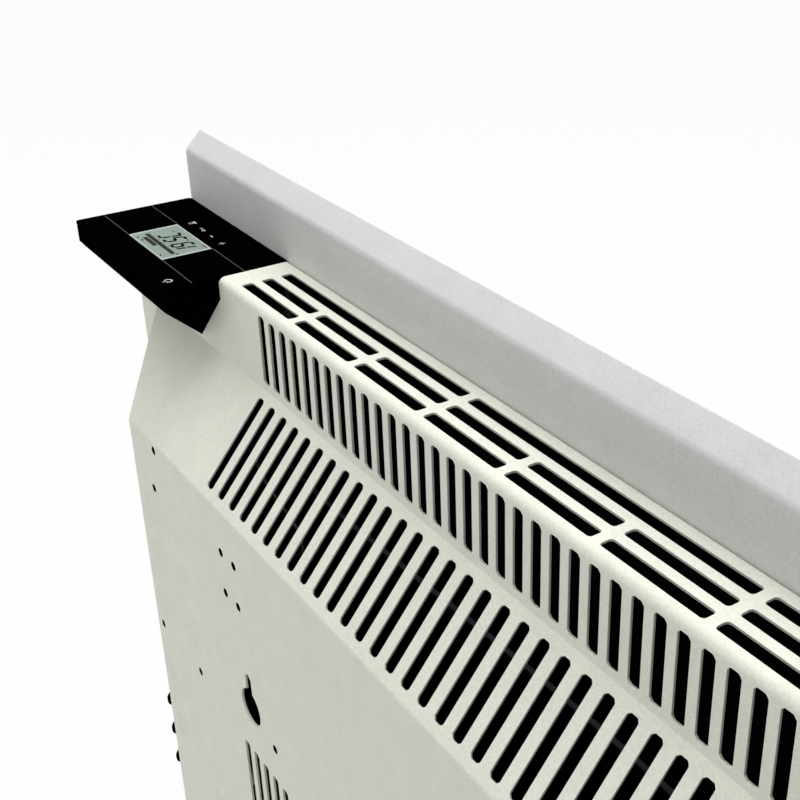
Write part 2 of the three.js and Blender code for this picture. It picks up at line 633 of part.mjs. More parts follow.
// A bead's form from the sheet's face down: sloping sides, a steep inner end, and an outer end that
// runs out. Its outlines are grown by grow and it lies sunk by sunk below the face.
function beadForm(inner, outer, z, grow, sunk, top) {
  const outwards = Math.sign(outer - inner);
  const ring = (innerInset, outerInset, width, corner) => {
    const ends = [inner + outwards * (innerInset - grow), outer - outwards * (outerInset - grow)];
    const half = width / 2 + grow;
    return slotShape(Math.min(...ends), Math.max(...ends), z - half, z + half, corner, true).getPoints(2);
  };
  const rim = ring(0, 0, BEAD_WIDTH, BEAD_CORNER);
  const floor = ring(BEAD_INNER_SLOPE, BEAD_OUTER_SLOPE, BEAD_FLOOR_WIDTH, BEAD_FLOOR_CORNER);
  return solid(new ConvexGeometry([
    ...rim.map((point) => new THREE.Vector3(point.x, top, point.y)),
    ...rim.map((point) => new THREE.Vector3(point.x, -sunk, point.y)),
    ...floor.map((point) => new THREE.Vector3(point.x, -sunk - BEAD_DEPTH, point.y)),
  ]));
}

function beads(grow, sunk, top) {
  const outer = rearBoxEndX(REAR_BOX_DEPTH, 0) - BEAD_FROM_FOLD;
  const inner = outer - BEAD_LENGTH;
  const lowest = ELEMENT_Z + BRACKET_HEIGHT / 2 + BEAD_CLEAR + BEAD_WIDTH / 2;
  const rows = BEAD_GROUPS.flatMap(([highest, count]) => (
    Array.from({ length: count }, (_, i) => highest - i * BEAD_PITCH)
  )).filter((z) => z >= lowest);
  return rows.flatMap((z) => [-1, 1].map((side) => beadForm(side * inner, side * outer, z, grow, sunk, top)));
}

// The opening in tray and band that takes the cassette, with its 45 degree edge.
function cassetteOpening() {
  const bottom = BASE_BOTTOM_Z - SEAT_GAP;
  const slope = CASSETTE_IN_X + LIP_BOTTOM_Z - SEAT_GAP * Math.SQRT2;
  const shape = outline([
    [GRILLE_END_X, CASING_TOP_Z + OVERCUT], [GRILLE_END_X, slope - GRILLE_END_X],
    [slope - bottom, bottom], [CASING_END_X + OVERCUT, bottom],
    [CASING_END_X + OVERCUT, CASING_TOP_Z + OVERCUT],
  ]);
  return sweepY(shape, CASING_FRONT_Y - OVERCUT, BAND_Y + OVERCUT);
}

const GLAND_X = CASING_END_X - REAR_BOX_END_INSET / 2;

function rearCasing() {
  const glandHole = cylinder(
    'y', GLAND_RADIUS + SEAT_GAP, BAND_Y - 2 * CASING_SHEET, BAND_Y + OVERCUT, GLAND_X, GLAND_Z, 16,
  );
  const beadBacks = beads(CASING_SHEET / 3, CASING_SHEET, -CASING_SHEET / 2);
  const pressed = casingShell().add(union(beadBacks));
  const cut = union([
    ...bandSlots(), ...slantSlots(), ...ventSlots(), ...topSlots(), ...intakeSlots(), ...keyholes(),
    ...smallHoles(), ...beads(0, 0, OVERCUT), glandHole, cassetteOpening(),
  ]);
  return toMesh('rear_casing', pressed.subtract(cut), creamPowder);
}

// ---------------------------------------------------------------- controller cassette

// The hopper-shaped lower half: 45 degrees at the grille end and at the rear.
function baseHull(inset, top) {
  const slopeInset = inset * Math.SQRT2;
  const endPlane = CASSETTE_IN_X + LIP_BOTTOM_Z + slopeInset;
  const rearPlane = LIP_REAR_Y - LIP_BOTTOM_Z - slopeInset;
  const out = CASING_END_X - SEAT_GAP - inset;
  const front = CASING_FRONT_Y + inset;
  const bottom = BASE_BOTTOM_Z + inset;
  const rear = BAND_Y - inset;
  const section = [
    [front, bottom], [rear, bottom], [rear, rear - rearPlane], [top + rearPlane, top], [front, top],
  ];
  const points = section.flatMap(([y, z]) => [
    new THREE.Vector3(endPlane - z, y, z), new THREE.Vector3(out, y, z),
  ]);
  return solid(new ConvexGeometry(points));
}

function baseRim() {
  const step = COVER_WALL + SEAT_GAP;
  const x0 = CASSETTE_IN_X + step;
  const x1 = CASING_END_X - SEAT_GAP;
  const y0 = CASING_FRONT_Y + step;
  const y1 = LIP_REAR_Y - step;
  const outer = box(x0, x1, y0, y1, BASE_TOP_Z - BASE_WALL, RIM_TOP_Z);
  const inner = box(
    x0 + BASE_RIM_WALL, x1 - BASE_RIM_WALL, y0 + BASE_RIM_WALL, y1 - BASE_RIM_WALL,
    BASE_TOP_Z - BASE_WALL - OVERCUT, RIM_TOP_Z + OVERCUT,
  );
  return outer.subtract(inner);
}

const SWITCH_Y = (CASING_FRONT_Y + BAND_Y) / 2;
const SWITCH_Z = (BASE_BOTTOM_Z + BASE_TOP_Z) / 2;
const BOARD_Z = BASE_BOTTOM_Z + BASE_WALL + POWER_BOARD_LIFT;
const BOARD_X1 = CASING_END_X - SEAT_GAP - BASE_WALL - SWITCH_DEPTH - SWITCH_TO_BOARD;
const BOARD_X0 = BOARD_X1 - POWER_BOARD_LENGTH;
const BOARD_Y = SWITCH_Y;
const LEAD_EXIT_X = BOARD_X0 - LEAD_EXIT_FROM_BOARD;

function boardPosts() {
  const inset = POST_RADIUS + POST_FROM_EDGE;
  const posts = [];
  for (const x of [BOARD_X0 + inset, BOARD_X1 - inset]) {
    for (const side of [-1, 1]) {
      const y = BOARD_Y + side * (POWER_BOARD_WIDTH / 2 - inset);
      posts.push(cylinder('z', POST_RADIUS, BASE_BOTTOM_Z + BASE_WALL / 2, BOARD_Z - SEAT_GAP, x, y, 10));
    }
  }
  return posts;
}

function controllerBase() {
  const hollow = baseHull(BASE_WALL, BASE_TOP_Z + OVERCUT);
  const switchHole = box(
    CASING_END_X - BASE_WALL - 2 * OVERCUT, CASING_END_X + OVERCUT,
    SWITCH_Y - SWITCH_LENGTH / 2 - SEAT_GAP, SWITCH_Y + SWITCH_LENGTH / 2 + SEAT_GAP,
    SWITCH_Z - SWITCH_WIDTH / 2 - SEAT_GAP, SWITCH_Z + SWITCH_WIDTH / 2 + SEAT_GAP,
  );
  const leadHole = cylinder(
    'z', LEAD_EXIT_RADIUS, BASE_BOTTOM_Z - OVERCUT, BASE_BOTTOM_Z + BASE_WALL + OVERCUT,
    LEAD_EXIT_X, BOARD_Y, 12,
  );
  const shell = baseHull(0, BASE_TOP_Z).subtract(hollow).add(baseRim()).add(union(boardPosts()));
  return toMesh('controller_base', shell.subtract(switchHole).subtract(leadHole), mattBlack);
}

function controllerCover() {
  const outer = sweepZ(
    slotShape(CASSETTE_IN_X, CASSETTE_OUT_X, CASING_FRONT_Y, LIP_REAR_Y, FASCIA_CORNER, true),
    LIP_BOTTOM_Z, COVER_TOP_Z, 1,
  );
  const hollow = box(
    CASSETTE_IN_X + COVER_WALL, CASSETTE_OUT_X - COVER_WALL,
    CASING_FRONT_Y + COVER_WALL, LIP_REAR_Y - COVER_WALL,
    LIP_BOTTOM_Z - OVERCUT, COVER_TOP_Z - COVER_PLATE,
  );
  const cellLength = LCD_LENGTH - 2 * LCD_CELL_INSET + 2 * SEAT_GAP;
  const cellWidth = LCD_WIDTH - 2 * LCD_CELL_INSET + 2 * SEAT_GAP;
  const cellHole = box(
    LCD_X - cellLength / 2, LCD_X + cellLength / 2, LCD_Y - cellWidth / 2, LCD_Y + cellWidth / 2,
    COVER_TOP_Z - 2 * COVER_PLATE, COVER_TOP_Z + OVERCUT,
  );
  const posts = [];
  const middleX = (CASSETTE_IN_X + CASSETTE_OUT_X) / 2;
  const middleY = (CASING_FRONT_Y + LIP_REAR_Y) / 2;
  const postEnd = TOUCH_BOARD_Z + BOARD_THICKNESS + SEAT_GAP;
  for (const sx of [-1, 1]) {
    for (const sy of [-1, 1]) {
      const x = middleX + sx * (TOUCH_BOARD_LENGTH / 2 - POST_RADIUS);
      const y = middleY + sy * (TOUCH_BOARD_WIDTH / 2 - POST_RADIUS);
      posts.push(cylinder('z', POST_RADIUS, postEnd, COVER_TOP_Z - COVER_PLATE / 2, x, y, 10));
    }
  }
  return toMesh('controller_cover', outer.subtract(hollow).subtract(cellHole).add(union(posts)), glossBlack);
}

function touchFascia() {
  const plate = sweepZ(
    slotShape(CASSETTE_IN_X, CASSETTE_OUT_X, CASING_FRONT_Y, LIP_REAR_Y, FASCIA_CORNER, true),
    CASING_TOP_Z - FASCIA_THICKNESS, CASING_TOP_Z, 2,
  );
  const window = box(
    LCD_X - LCD_LENGTH / 2 - SEAT_GAP, LCD_X + LCD_LENGTH / 2 + SEAT_GAP,
    LCD_Y - LCD_WIDTH / 2 - SEAT_GAP, LCD_Y + LCD_WIDTH / 2 + SEAT_GAP,
    CASING_TOP_Z - FASCIA_THICKNESS - OVERCUT, CASING_TOP_Z + OVERCUT,
  );
  return toMesh('touch_fascia', plate.subtract(window), glossBlack);
}

function lcdWindow() {
  const plate = box(
    LCD_X - LCD_LENGTH / 2, LCD_X + LCD_LENGTH / 2, LCD_Y - LCD_WIDTH / 2, LCD_Y + LCD_WIDTH / 2,
    CASING_TOP_Z - FASCIA_THICKNESS, CASING_TOP_Z,
  );
  return toMesh('lcd_window', plate, clearWindow);
}

function lcdCell() {
  const length = LCD_LENGTH - 2 * LCD_CELL_INSET;
  const width = LCD_WIDTH - 2 * LCD_CELL_INSET;
  const cell = box(
    LCD_X - length / 2, LCD_X + length / 2, LCD_Y - width / 2, LCD_Y + width / 2,
    LCD_CELL_Z, LCD_CELL_Z + LCD_CELL_THICKNESS,
  );
  return toMesh('lcd_cell', cell, lcdGrey);
}

function touchBoard() {
  const x = (CASSETTE_IN_X + CASSETTE_OUT_X) / 2;
  const y = (CASING_FRONT_Y + LIP_REAR_Y) / 2;
  const board = sweepZ(
    slotShape(
      x - TOUCH_BOARD_LENGTH / 2, x + TOUCH_BOARD_LENGTH / 2,
      y - TOUCH_BOARD_WIDTH / 2, y + TOUCH_BOARD_WIDTH / 2, TOUCH_BOARD_CORNER,
    ),
    TOUCH_BOARD_Z, TOUCH_BOARD_Z + BOARD_THICKNESS,
  );
  return toMesh('touch_board', board, boardGreen);
}

// ---------------------------------------------------------------- power board

const BOARD_TOP_Z = BOARD_Z + BOARD_THICKNESS;
const PART_Z = BOARD_TOP_Z + SEAT_GAP;

function powerBoard() {
  const board = box(
    BOARD_X0, BOARD_X1, BOARD_Y - POWER_BOARD_WIDTH / 2, BOARD_Y + POWER_BOARD_WIDTH / 2,
    BOARD_Z, BOARD_TOP_Z,
  );
  return toMesh('power_board', board, boardGreen);
}

function standingBox(name, size, x0, y0, material) {
  const [length, width, height] = size;
  return toMesh(name, box(x0, x0 + length, y0, y0 + width, PART_Z, PART_Z + height), material);
}

function boardParts() {
  const x0 = BOARD_X0 + BOARD_PART_MARGIN;
  const y0 = BOARD_Y - POWER_BOARD_WIDTH / 2 + BOARD_PART_MARGIN;
  const y1 = BOARD_Y + POWER_BOARD_WIDTH / 2 - BOARD_PART_MARGIN;
  const relay = standingBox('relay', RELAY_SIZE, x0, y0, glossBlack);
  const besideRelay = x0 + RELAY_SIZE[0] + RELAY_TO_TRANSFORMER;
  const transformer = standingBox('transformer', TRANSFORMER_SIZE, besideRelay, y0, darkSteel);
  const can = cylinder(
    'z', CAPACITOR_RADIUS, PART_Z, PART_Z + CAPACITOR_HEIGHT,
    BOARD_X0 + CAPACITOR_FROM_EDGE, y1 - CAPACITOR_RADIUS, 14,
  );
  return [relay, transformer, toMesh('capacitor', can, aluminium)];
}

function terminalBlock() {
  const length = TERMINAL_POLES * TERMINAL_PITCH;
  const x0 = BOARD_X1 - BOARD_PART_MARGIN - length;
  const y1 = BOARD_Y + POWER_BOARD_WIDTH / 2 - BOARD_PART_MARGIN / 2;
  const top = PART_Z + TERMINAL_HEIGHT;
  let block = box(x0, x0 + length, y1 - TERMINAL_DEPTH, y1, PART_Z, top);
  for (let i = 0; i < TERMINAL_POLES; i += 1) {
    const x = x0 + (i + 0.5) * TERMINAL_PITCH;
    const half = TERMINAL_ENTRY_WIDTH / 2;
    const entry = box(
      x - half, x + half, y1 - TERMINAL_ENTRY_DEPTH, y1 + OVERCUT,
      PART_Z + half, PART_Z + half + TERMINAL_ENTRY_WIDTH,
    );
    const screwY = y1 - TERMINAL_ENTRY_DEPTH - TERMINAL_SCREW_RADIUS;
    const floor = top - TERMINAL_SCREW_DEPTH;
    const well = cylinder('z', TERMINAL_SCREW_RADIUS, floor, top + OVERCUT, x, screwY, 8);
    block = block.subtract(entry).subtract(well);
  }
  return toMesh('terminal_block', block, greyPlastic);
}

// ---------------------------------------------------------------- rocker switch

const SWITCH_FACE_X = CASING_END_X - SEAT_GAP;
const SWITCH_BEZEL_X = SWITCH_FACE_X + SEAT_GAP;
const ROCKER_X = SWITCH_BEZEL_X + SWITCH_BEZEL - ROCKER_RISE + ROCKER_BELOW_BEZEL;
const WELL_HALF_LENGTH = SWITCH_LENGTH / 2 - SWITCH_WALL;
const WELL_HALF_WIDTH = SWITCH_WIDTH / 2 - SWITCH_WALL;

function switchBody() {
  const body = box(
    SWITCH_FACE_X - SWITCH_DEPTH, SWITCH_BEZEL_X + SWITCH_BEZEL,
    SWITCH_Y - SWITCH_LENGTH / 2, SWITCH_Y + SWITCH_LENGTH / 2,
    SWITCH_Z - SWITCH_WIDTH / 2, SWITCH_Z + SWITCH_WIDTH / 2,
  );
  const bezelLength = SWITCH_LENGTH + 2 * SWITCH_BEZEL_OVERLAP;
  const bezelWidth = SWITCH_WIDTH + 2 * SWITCH_BEZEL_OVERLAP;
  const bezel = sweepX(
    slotShape(
      SWITCH_Y - bezelLength / 2, SWITCH_Y + bezelLength / 2,
      SWITCH_Z - bezelWidth / 2, SWITCH_Z + bezelWidth / 2,
      SWITCH_BEZEL_CORNER, true,
    ),
    SWITCH_BEZEL_X, SWITCH_BEZEL_X + SWITCH_BEZEL, 1,
  );
  const well = box(
    ROCKER_X - ROCKER_WELL, SWITCH_BEZEL_X + SWITCH_BEZEL + OVERCUT,
    SWITCH_Y - WELL_HALF_LENGTH, SWITCH_Y + WELL_HALF_LENGTH,
    SWITCH_Z - WELL_HALF_WIDTH, SWITCH_Z + WELL_HALF_WIDTH,
  );
  const pinReach = WELL_HALF_WIDTH + ROCKER_PIN_LENGTH + SEAT_GAP;
  const pinHoles = cylinder(
    'z', ROCKER_PIN_RADIUS + PIN_CLEARANCE, SWITCH_Z - pinReach, SWITCH_Z + pinReach,
    ROCKER_X, SWITCH_Y, 12,
  );
  return toMesh('switch_body', body.add(bezel).subtract(well).subtract(pinHoles), mattBlack);
}

function switchRocker() {
  const h = ROCKER_HALF_LENGTH;
  const shape = outline([
    [-ROCKER_HEEL, -ROCKER_HEEL_HALF_LENGTH], [ROCKER_SHOULDER, -h], [ROCKER_RISE, -h],
    [ROCKER_WAIST, 0],
    [ROCKER_RISE, h], [ROCKER_SHOULDER, h], [-ROCKER_HEEL, ROCKER_HEEL_HALF_LENGTH],
  ]);
  const half = WELL_HALF_WIDTH - SEAT_GAP;
  const key = sweepZ(shape, -half, half);
  const pinHalf = WELL_HALF_WIDTH + ROCKER_PIN_LENGTH;
  const pins = cylinder('z', ROCKER_PIN_RADIUS, -pinHalf, pinHalf, 0, 0, 12);
  const tilt = new THREE.Matrix4().makeRotationZ(THREE.MathUtils.degToRad(-ROCKER_TILT));
  const place = new THREE.Matrix4().makeTranslation(ROCKER_X, SWITCH_Y, SWITCH_Z).multiply(tilt);
  return toMesh('switch_rocker', key.add(pins).transform(place.elements), glossBlack);
}

// ---------------------------------------------------------------- heating element

const BRACKET_X = rearBoxEndX(REAR_BOX_DEPTH, ELEMENT_Z) - BRACKET_FROM_FOLD;
const ELEMENT_LENGTH = 2 * BRACKET_X - ELEMENT_STUB;
const BUSH_RADIUS = ELEMENT_CORE_RADIUS + SEAT_GAP + BUSH_WALL;

function elementArm(angle) {
  const arm = box(
    -ELEMENT_LENGTH / 2, ELEMENT_LENGTH / 2,
    0, ELEMENT_ARM_LENGTH, -ELEMENT_ARM_THICKNESS / 2, ELEMENT_ARM_THICKNESS / 2,
  );
  const turn = new THREE.Matrix4().makeRotationX(THREE.MathUtils.degToRad(angle));
  const place = new THREE.Matrix4().makeTranslation(0, ELEMENT_Y, ELEMENT_Z).multiply(turn);
  return arm.transform(place.elements);
}

function heatingElement() {
  const a = ELEMENT_ARM_ANGLE;
  const arms = [a, 180 - a, 180 + a, -a].map(elementArm);
  const reach = ELEMENT_LENGTH / 2 + ELEMENT_STUB;
  const core = cylinder('x', ELEMENT_CORE_RADIUS, -reach, reach, ELEMENT_Y, ELEMENT_Z, 16);
  const pins = cylinder(
    'x', ELEMENT_PIN_RADIUS, -reach - ELEMENT_PIN_LENGTH, reach + ELEMENT_PIN_LENGTH,
    ELEMENT_Y, ELEMENT_Z, 10,
  );
  return toMesh('heating_element', union([...arms, core, pins]), aluminium);
}

function elementBush(name, side) {
  const x = side * BRACKET_X;
  const sleeve = cylinder(
    'x', BUSH_RADIUS, x - BUSH_LENGTH / 2, x + BUSH_LENGTH / 2, ELEMENT_Y, ELEMENT_Z, 16,
  );
  const flangeX = x + side * (BRACKET_SHEET / 2 + SEAT_GAP + BUSH_FLANGE_THICKNESS / 2);
  const flange = cylinder(
    'x', BUSH_RADIUS + BUSH_FLANGE, flangeX - BUSH_FLANGE_THICKNESS / 2, flangeX + BUSH_FLANGE_THICKNESS / 2,
    ELEMENT_Y, ELEMENT_Z, 16,
  );
  const bore = cylinder(
    'x', ELEMENT_CORE_RADIUS + SEAT_GAP, x - BUSH_LENGTH, x + BUSH_LENGTH, ELEMENT_Y, ELEMENT_Z, 16,
  );
  return toMesh(name, sleeve.add(flange).subtract(bore), ceramic);
}

function elementBracket(name, side) {
  const x = side * BRACKET_X;
  const rear = REAR_INNER_Y - SEAT_GAP;
  const front = ELEMENT_Y - BUSH_RADIUS - BRACKET_EDGE;
  const half = BRACKET_HEIGHT / 2;
  const web = sweepX(
    outline([
      [rear, ELEMENT_Z - half], [rear, ELEMENT_Z + half],
      [ELEMENT_Y, ELEMENT_Z + BUSH_RADIUS + BRACKET_EDGE], [front, ELEMENT_Z + BRACKET_EDGE],
      [front, ELEMENT_Z - BRACKET_EDGE], [ELEMENT_Y, ELEMENT_Z - BUSH_RADIUS - BRACKET_EDGE],
    ]),
    x - BRACKET_SHEET / 2, x + BRACKET_SHEET / 2,
  );
  const footEdge = x - side * BRACKET_FOOT;
  const foot = box(
    Math.min(x, footEdge), Math.max(x, footEdge),
    rear - BRACKET_SHEET, rear, ELEMENT_Z - half, ELEMENT_Z + half,
  );
  const hole = cylinder(
    'x', BUSH_RADIUS + SEAT_GAP, x - OVERCUT, x + OVERCUT, ELEMENT_Y, ELEMENT_Z, 16,
  );
  let bracket = web.add(foot).subtract(hole);
  for (const dz of [-1, 1]) {
    const z = ELEMENT_Z + dz * (half - BRACKET_SCREW_FROM_END);
    bracket = bracket.subtract(cylinder(
      'y', SCREW_RADIUS + SEAT_GAP, rear - 2 * BRACKET_SHEET, rear + OVERCUT,
      x - side * BRACKET_FOOT / 2, z, 10,
    ));
  }
  return toMesh(name, bracket, zincSteel);
}

// A pan-head screw along Y, its head's underside at headY and its shank towards +Y.
function screwY(name, x, z, headY, length) {
  const head = cylinder('y', SCREW_HEAD_RADIUS, headY - SCREW_HEAD, headY, x, z, 12);
  const shank = cylinder('y', SCREW_RADIUS, headY - SCREW_HEAD / 2, headY + length, x, z, 10);
  return toMesh(name, head.add(shank), zincSteel);
}

function bracketScrews() {
  const screws = [];
  const headY = REAR_INNER_Y - BRACKET_SHEET - 2 * SEAT_GAP;
  for (const side of [-1, 1]) {
    for (const dz of [-1, 1]) {
      screws.push(screwY(
        `bracket_screw_${screws.length + 1}`,
        side * (BRACKET_X - BRACKET_FOOT / 2),
        ELEMENT_Z + dz * (BRACKET_HEIGHT / 2 - BRACKET_SCREW_FROM_END),
        headY, BRACKET_SHEET + SEAT_GAP,
      ));
    }
  }
  return screws;
}

// ---------------------------------------------------------------- inner sheet parts

function heatShield() {
  const y0 = CASING_FRONT_Y + CASING_SHEET + SHIELD_STAND_OFF;
  const end = FLANGE_END_X + FLANGE_WIDTH / 2;
  const low = FLANGE_BOTTOM_Z - FLANGE_WIDTH / 2;
  const high = FLANGE_TOP_Z + FLANGE_WIDTH / 2;
  const underCassette = BASE_BOTTOM_Z - SHIELD_BELOW_CASSETTE;
  const besideCassette = GRILLE_END_X - SHIELD_BESIDE_CASSETTE;
  const plate = sweepY(
    outline([
      [-end, low], [end, low], [end, underCassette],
      [besideCassette, underCassette], [besideCassette, high], [-end, high],
    ]),
    y0, y0 + SHIELD_SHEET,
  );
  const feet = [];
  for (const column of [-1, 0, 1]) {
    for (const z of [low + SHIELD_FOOT_HEIGHT / 2, high - SHIELD_FOOT_HEIGHT / 2]) {
      const x = column * SHIELD_FOOT_SPACING - SHIELD_FOOT_SPACING / 2;
      feet.push(box(
        x - SHIELD_FOOT_LENGTH / 2, x + SHIELD_FOOT_LENGTH / 2,
        CASING_FRONT_Y + CASING_SHEET + SEAT_GAP, y0 + SHIELD_SHEET / 2,
        z - SHIELD_FOOT_HEIGHT / 2, z + SHIELD_FOOT_HEIGHT / 2,
      ));
    }
  }
  return toMesh('heat_shield', plate.add(union(feet)), darkSteel);
}

// A sheet under the cassette that keeps the rising heat off it.
function cassetteHeatGuard() {
  const z = BASE_BOTTOM_Z - HEAT_GUARD_DROP;
  const out = CASING_END_X - CASING_SHEET - SEAT_GAP;
  const y0 = CASING_FRONT_Y + CASING_SHEET + SHIELD_STAND_OFF + SHIELD_SHEET + SEAT_GAP;
  const y1 = BAND_Y - CASING_SHEET - SEAT_GAP;
  const section = outline([
    [GRILLE_END_X, z], [out, z], [out, z - FLANGE_WIDTH], [out - SHIELD_SHEET, z - FLANGE_WIDTH],
    [out - SHIELD_SHEET, z - SHIELD_SHEET], [GRILLE_END_X, z - SHIELD_SHEET],
  ]);
  const leadHole = cylinder(
    'z', LEAD_EXIT_RADIUS, z - 2 * OVERCUT, z + OVERCUT, LEAD_EXIT_X, BOARD_Y, 12,
  );
  return toMesh('cassette_heat_guard', sweepY(section, y0, y1).subtract(leadHole), zincSteel);
}

function panelClip(name, x, edgeZ, inwards) {
  const t = PANEL_CLIP_SHEET;
  const front = PANEL_REAR_Y - PANEL_SHEET - SEAT_GAP;
  const rear = CASING_FRONT_Y + CASING_SHEET + SEAT_GAP;
  const web = edgeZ + inwards * SEAT_GAP;
  const tip = edgeZ - inwards * PANEL_CLIP_REACH;
  const section = outline([
    [front - t, tip], [front, tip], [front, web], [rear, web], [rear, tip], [rear + t, tip],
    [rear + t, web + inwards * t], [front - t, web + inwards * t],
  ]);
  const clip = sweepX(section, x - PANEL_CLIP_LENGTH / 2, x + PANEL_CLIP_LENGTH / 2);
  return toMesh(name, clip, zincSteel);
}

function panelClips() {
  const end = FLANGE_END_X - PANEL_CLIP_FROM_END;
  const besideCassette = GRILLE_END_X - PANEL_CLIP_FROM_END;
  const places = [
    [-end, FLANGE_TOP_Z, -1], [0, FLANGE_TOP_Z, -1], [besideCassette, FLANGE_TOP_Z, -1],
    [-end, FLANGE_BOTTOM_Z, 1], [0, FLANGE_BOTTOM_Z, 1], [end, FLANGE_BOTTOM_Z, 1],
  ];
  return places.map(([x, z, inwards], i) => panelClip(`panel_clip_${i + 1}`, x, z, inwards));
}

// ---------------------------------------------------------------- cut-out, sensor, gland, earth

const CUTOUT_X = RIVET_GROUP_X;
const CUTOUT_Z = RIVET_GROUP_Z - CUTOUT_BELOW_RIVETS;
const CUTOUT_PLATE_Y = REAR_INNER_Y - SEAT_GAP - CUTOUT_STAND_OFF;

function cutoutBracket() {
  const rear = REAR_INNER_Y - SEAT_GAP;
  const t = BRACKET_SHEET;
  const top = RIVET_GROUP_Z + CUTOUT_BRACKET_HEIGHT / 2;
  const low = RIVET_GROUP_Z - CUTOUT_BRACKET_HEIGHT / 2;
  const footEnd = top - CUTOUT_FOOT_HEIGHT;
  const section = outline([
    [rear, top], [rear, footEnd], [rear - t, footEnd], [rear - t, top - t],
    [CUTOUT_PLATE_Y, top - t], [CUTOUT_PLATE_Y, low], [CUTOUT_PLATE_Y - t, low], [CUTOUT_PLATE_Y - t, top],
  ]);
  const bent = sweepX(section, CUTOUT_X - CUTOUT_BRACKET_LENGTH / 2, CUTOUT_X + CUTOUT_BRACKET_LENGTH / 2);
  const hole = cylinder(
    'y', CUTOUT_BUTTON_RADIUS + SEAT_GAP, CUTOUT_PLATE_Y - 2 * t, CUTOUT_PLATE_Y + t, CUTOUT_X, CUTOUT_Z, 12,
  );
  return toMesh('cutout_bracket', bent.subtract(hole), zincSteel);
}

function thermalCutout() {
  const face = CUTOUT_PLATE_Y - BRACKET_SHEET - SEAT_GAP;
  const back = face - CUTOUT_HEIGHT;
  const disc = cylinder('y', CUTOUT_RADIUS, back, face, CUTOUT_X, CUTOUT_Z, 18);
  const button = cylinder(
    'y', CUTOUT_BUTTON_RADIUS, face - CUTOUT_HEIGHT / 2, face + BRACKET_SHEET, CUTOUT_X, CUTOUT_Z, 12,
  );
  const tabs = [-1, 1].map((side) => {
    const x = CUTOUT_X + side * CUTOUT_TAB_SPACING / 2;
    return box(
      x - CUTOUT_TAB_WIDTH / 2, x + CUTOUT_TAB_WIDTH / 2, back - CUTOUT_TAB_LENGTH, face - CUTOUT_HEIGHT / 2,
      CUTOUT_Z - CUTOUT_TAB_SHEET / 2, CUTOUT_Z + CUTOUT_TAB_SHEET / 2,
    );
  });
  return toMesh('thermal_cutout', union([disc, button, ...tabs]), mattBlack);
}

const SENSOR_X = CASING_END_X - CASING_SHEET - SEAT_GAP;
const SENSOR_Y = CASING_FRONT_Y + TRAY_DEPTH / 2;
const SENSOR_Z = CASING_BOTTOM_Z + SENSOR_ABOVE_BOTTOM;

function sensorHolder() {
  const foot = box(
    SENSOR_X - HOLDER_FOOT_SHEET, SENSOR_X,
    SENSOR_Y - HOLDER_FOOT_WIDTH / 2, SENSOR_Y + HOLDER_FOOT_WIDTH / 2,
    SENSOR_Z - HOLDER_FOOT_HEIGHT / 2, SENSOR_Z + HOLDER_FOOT_HEIGHT / 2,
  );
  const half = HOLDER_ARM_SIZE / 2;
  const arm = box(
    SENSOR_X - HOLDER_ARM_LENGTH, SENSOR_X - HOLDER_FOOT_SHEET / 2,
    SENSOR_Y - half, SENSOR_Y + half, SENSOR_Z - half, SENSOR_Z + half,
  );
  const bore = cylinder(
    'z', SENSOR_RADIUS + SEAT_GAP, SENSOR_Z - half - OVERCUT, SENSOR_Z + half + OVERCUT,
    SENSOR_X - SENSOR_FROM_WALL, SENSOR_Y, 12,
  );
  return toMesh('sensor_holder', foot.add(arm).subtract(bore), greyPlastic);
}

function temperatureSensor() {
  const top = SENSOR_BODY_ABOVE_HOLDER;
  const low = top - SENSOR_BODY_LENGTH;
  const r = SENSOR_RADIUS;
  const geometry = new THREE.LatheGeometry([
    new THREE.Vector2(0, low), new THREE.Vector2(r * 0.6, low + r * 0.2), new THREE.Vector2(r, low + r),
    new THREE.Vector2(r, top), new THREE.Vector2(0, top),
  ], 12);
  geometry.rotateX(Math.PI / 2);
  geometry.translate(SENSOR_X - SENSOR_FROM_WALL, SENSOR_Y, SENSOR_Z);
  return toMesh('temperature_sensor', solid(geometry), mattBlack);
}

function cordGland() {
  const face = BAND_Y + SEAT_GAP;
  const inner = BAND_Y - CASING_SHEET - GLAND_THREAD_LENGTH;
  const barrel = cylinder('y', GLAND_RADIUS, inner, face + GLAND_HEAD / 2, GLAND_X, GLAND_Z, 16);
  const head = cylinder('y', GLAND_HEAD_RADIUS, face, face + GLAND_HEAD, GLAND_X, GLAND_Z, 6);
  const bore = cylinder(
    'y', GLAND_BORE_RADIUS, inner - OVERCUT, face + GLAND_HEAD + OVERCUT, GLAND_X, GLAND_Z, 12,
  );
  return toMesh('cord_gland', barrel.add(head).subtract(bore), mattBlack);
}

function glandNut() {
  const face = BAND_Y - CASING_SHEET - SEAT_GAP;
  const inner = face - GLAND_NUT_THICKNESS;
  const nut = cylinder('y', GLAND_HEAD_RADIUS, inner, face, GLAND_X, GLAND_Z, 6);
  const bore = cylinder('y', GLAND_RADIUS + SEAT_GAP, inner - OVERCUT, face + OVERCUT, GLAND_X, GLAND_Z, 16);
  return toMesh('gland_nut', nut.subtract(bore), mattBlack);
}

const EARTH_X = CASING_END_X - CASING_SHEET - SEAT_GAP;
const EARTH_Y = CASING_FRONT_Y + TRAY_DEPTH / 2;
const EARTH_Z = FOLD_Z - EARTH_BELOW_FOLD;

function earthStud() {
  const head = cylinder('x', EARTH_HEAD_RADIUS, EARTH_X - EARTH_HEAD, EARTH_X, EARTH_Y, EARTH_Z, 6);
  const shank = cylinder(
    'x', EARTH_STUD_RADIUS, EARTH_X - EARTH_STUD_LENGTH, EARTH_X - EARTH_HEAD / 2, EARTH_Y, EARTH_Z, 12,
  );
  return toMesh('earth_stud', head.add(shank), zincSteel);
}

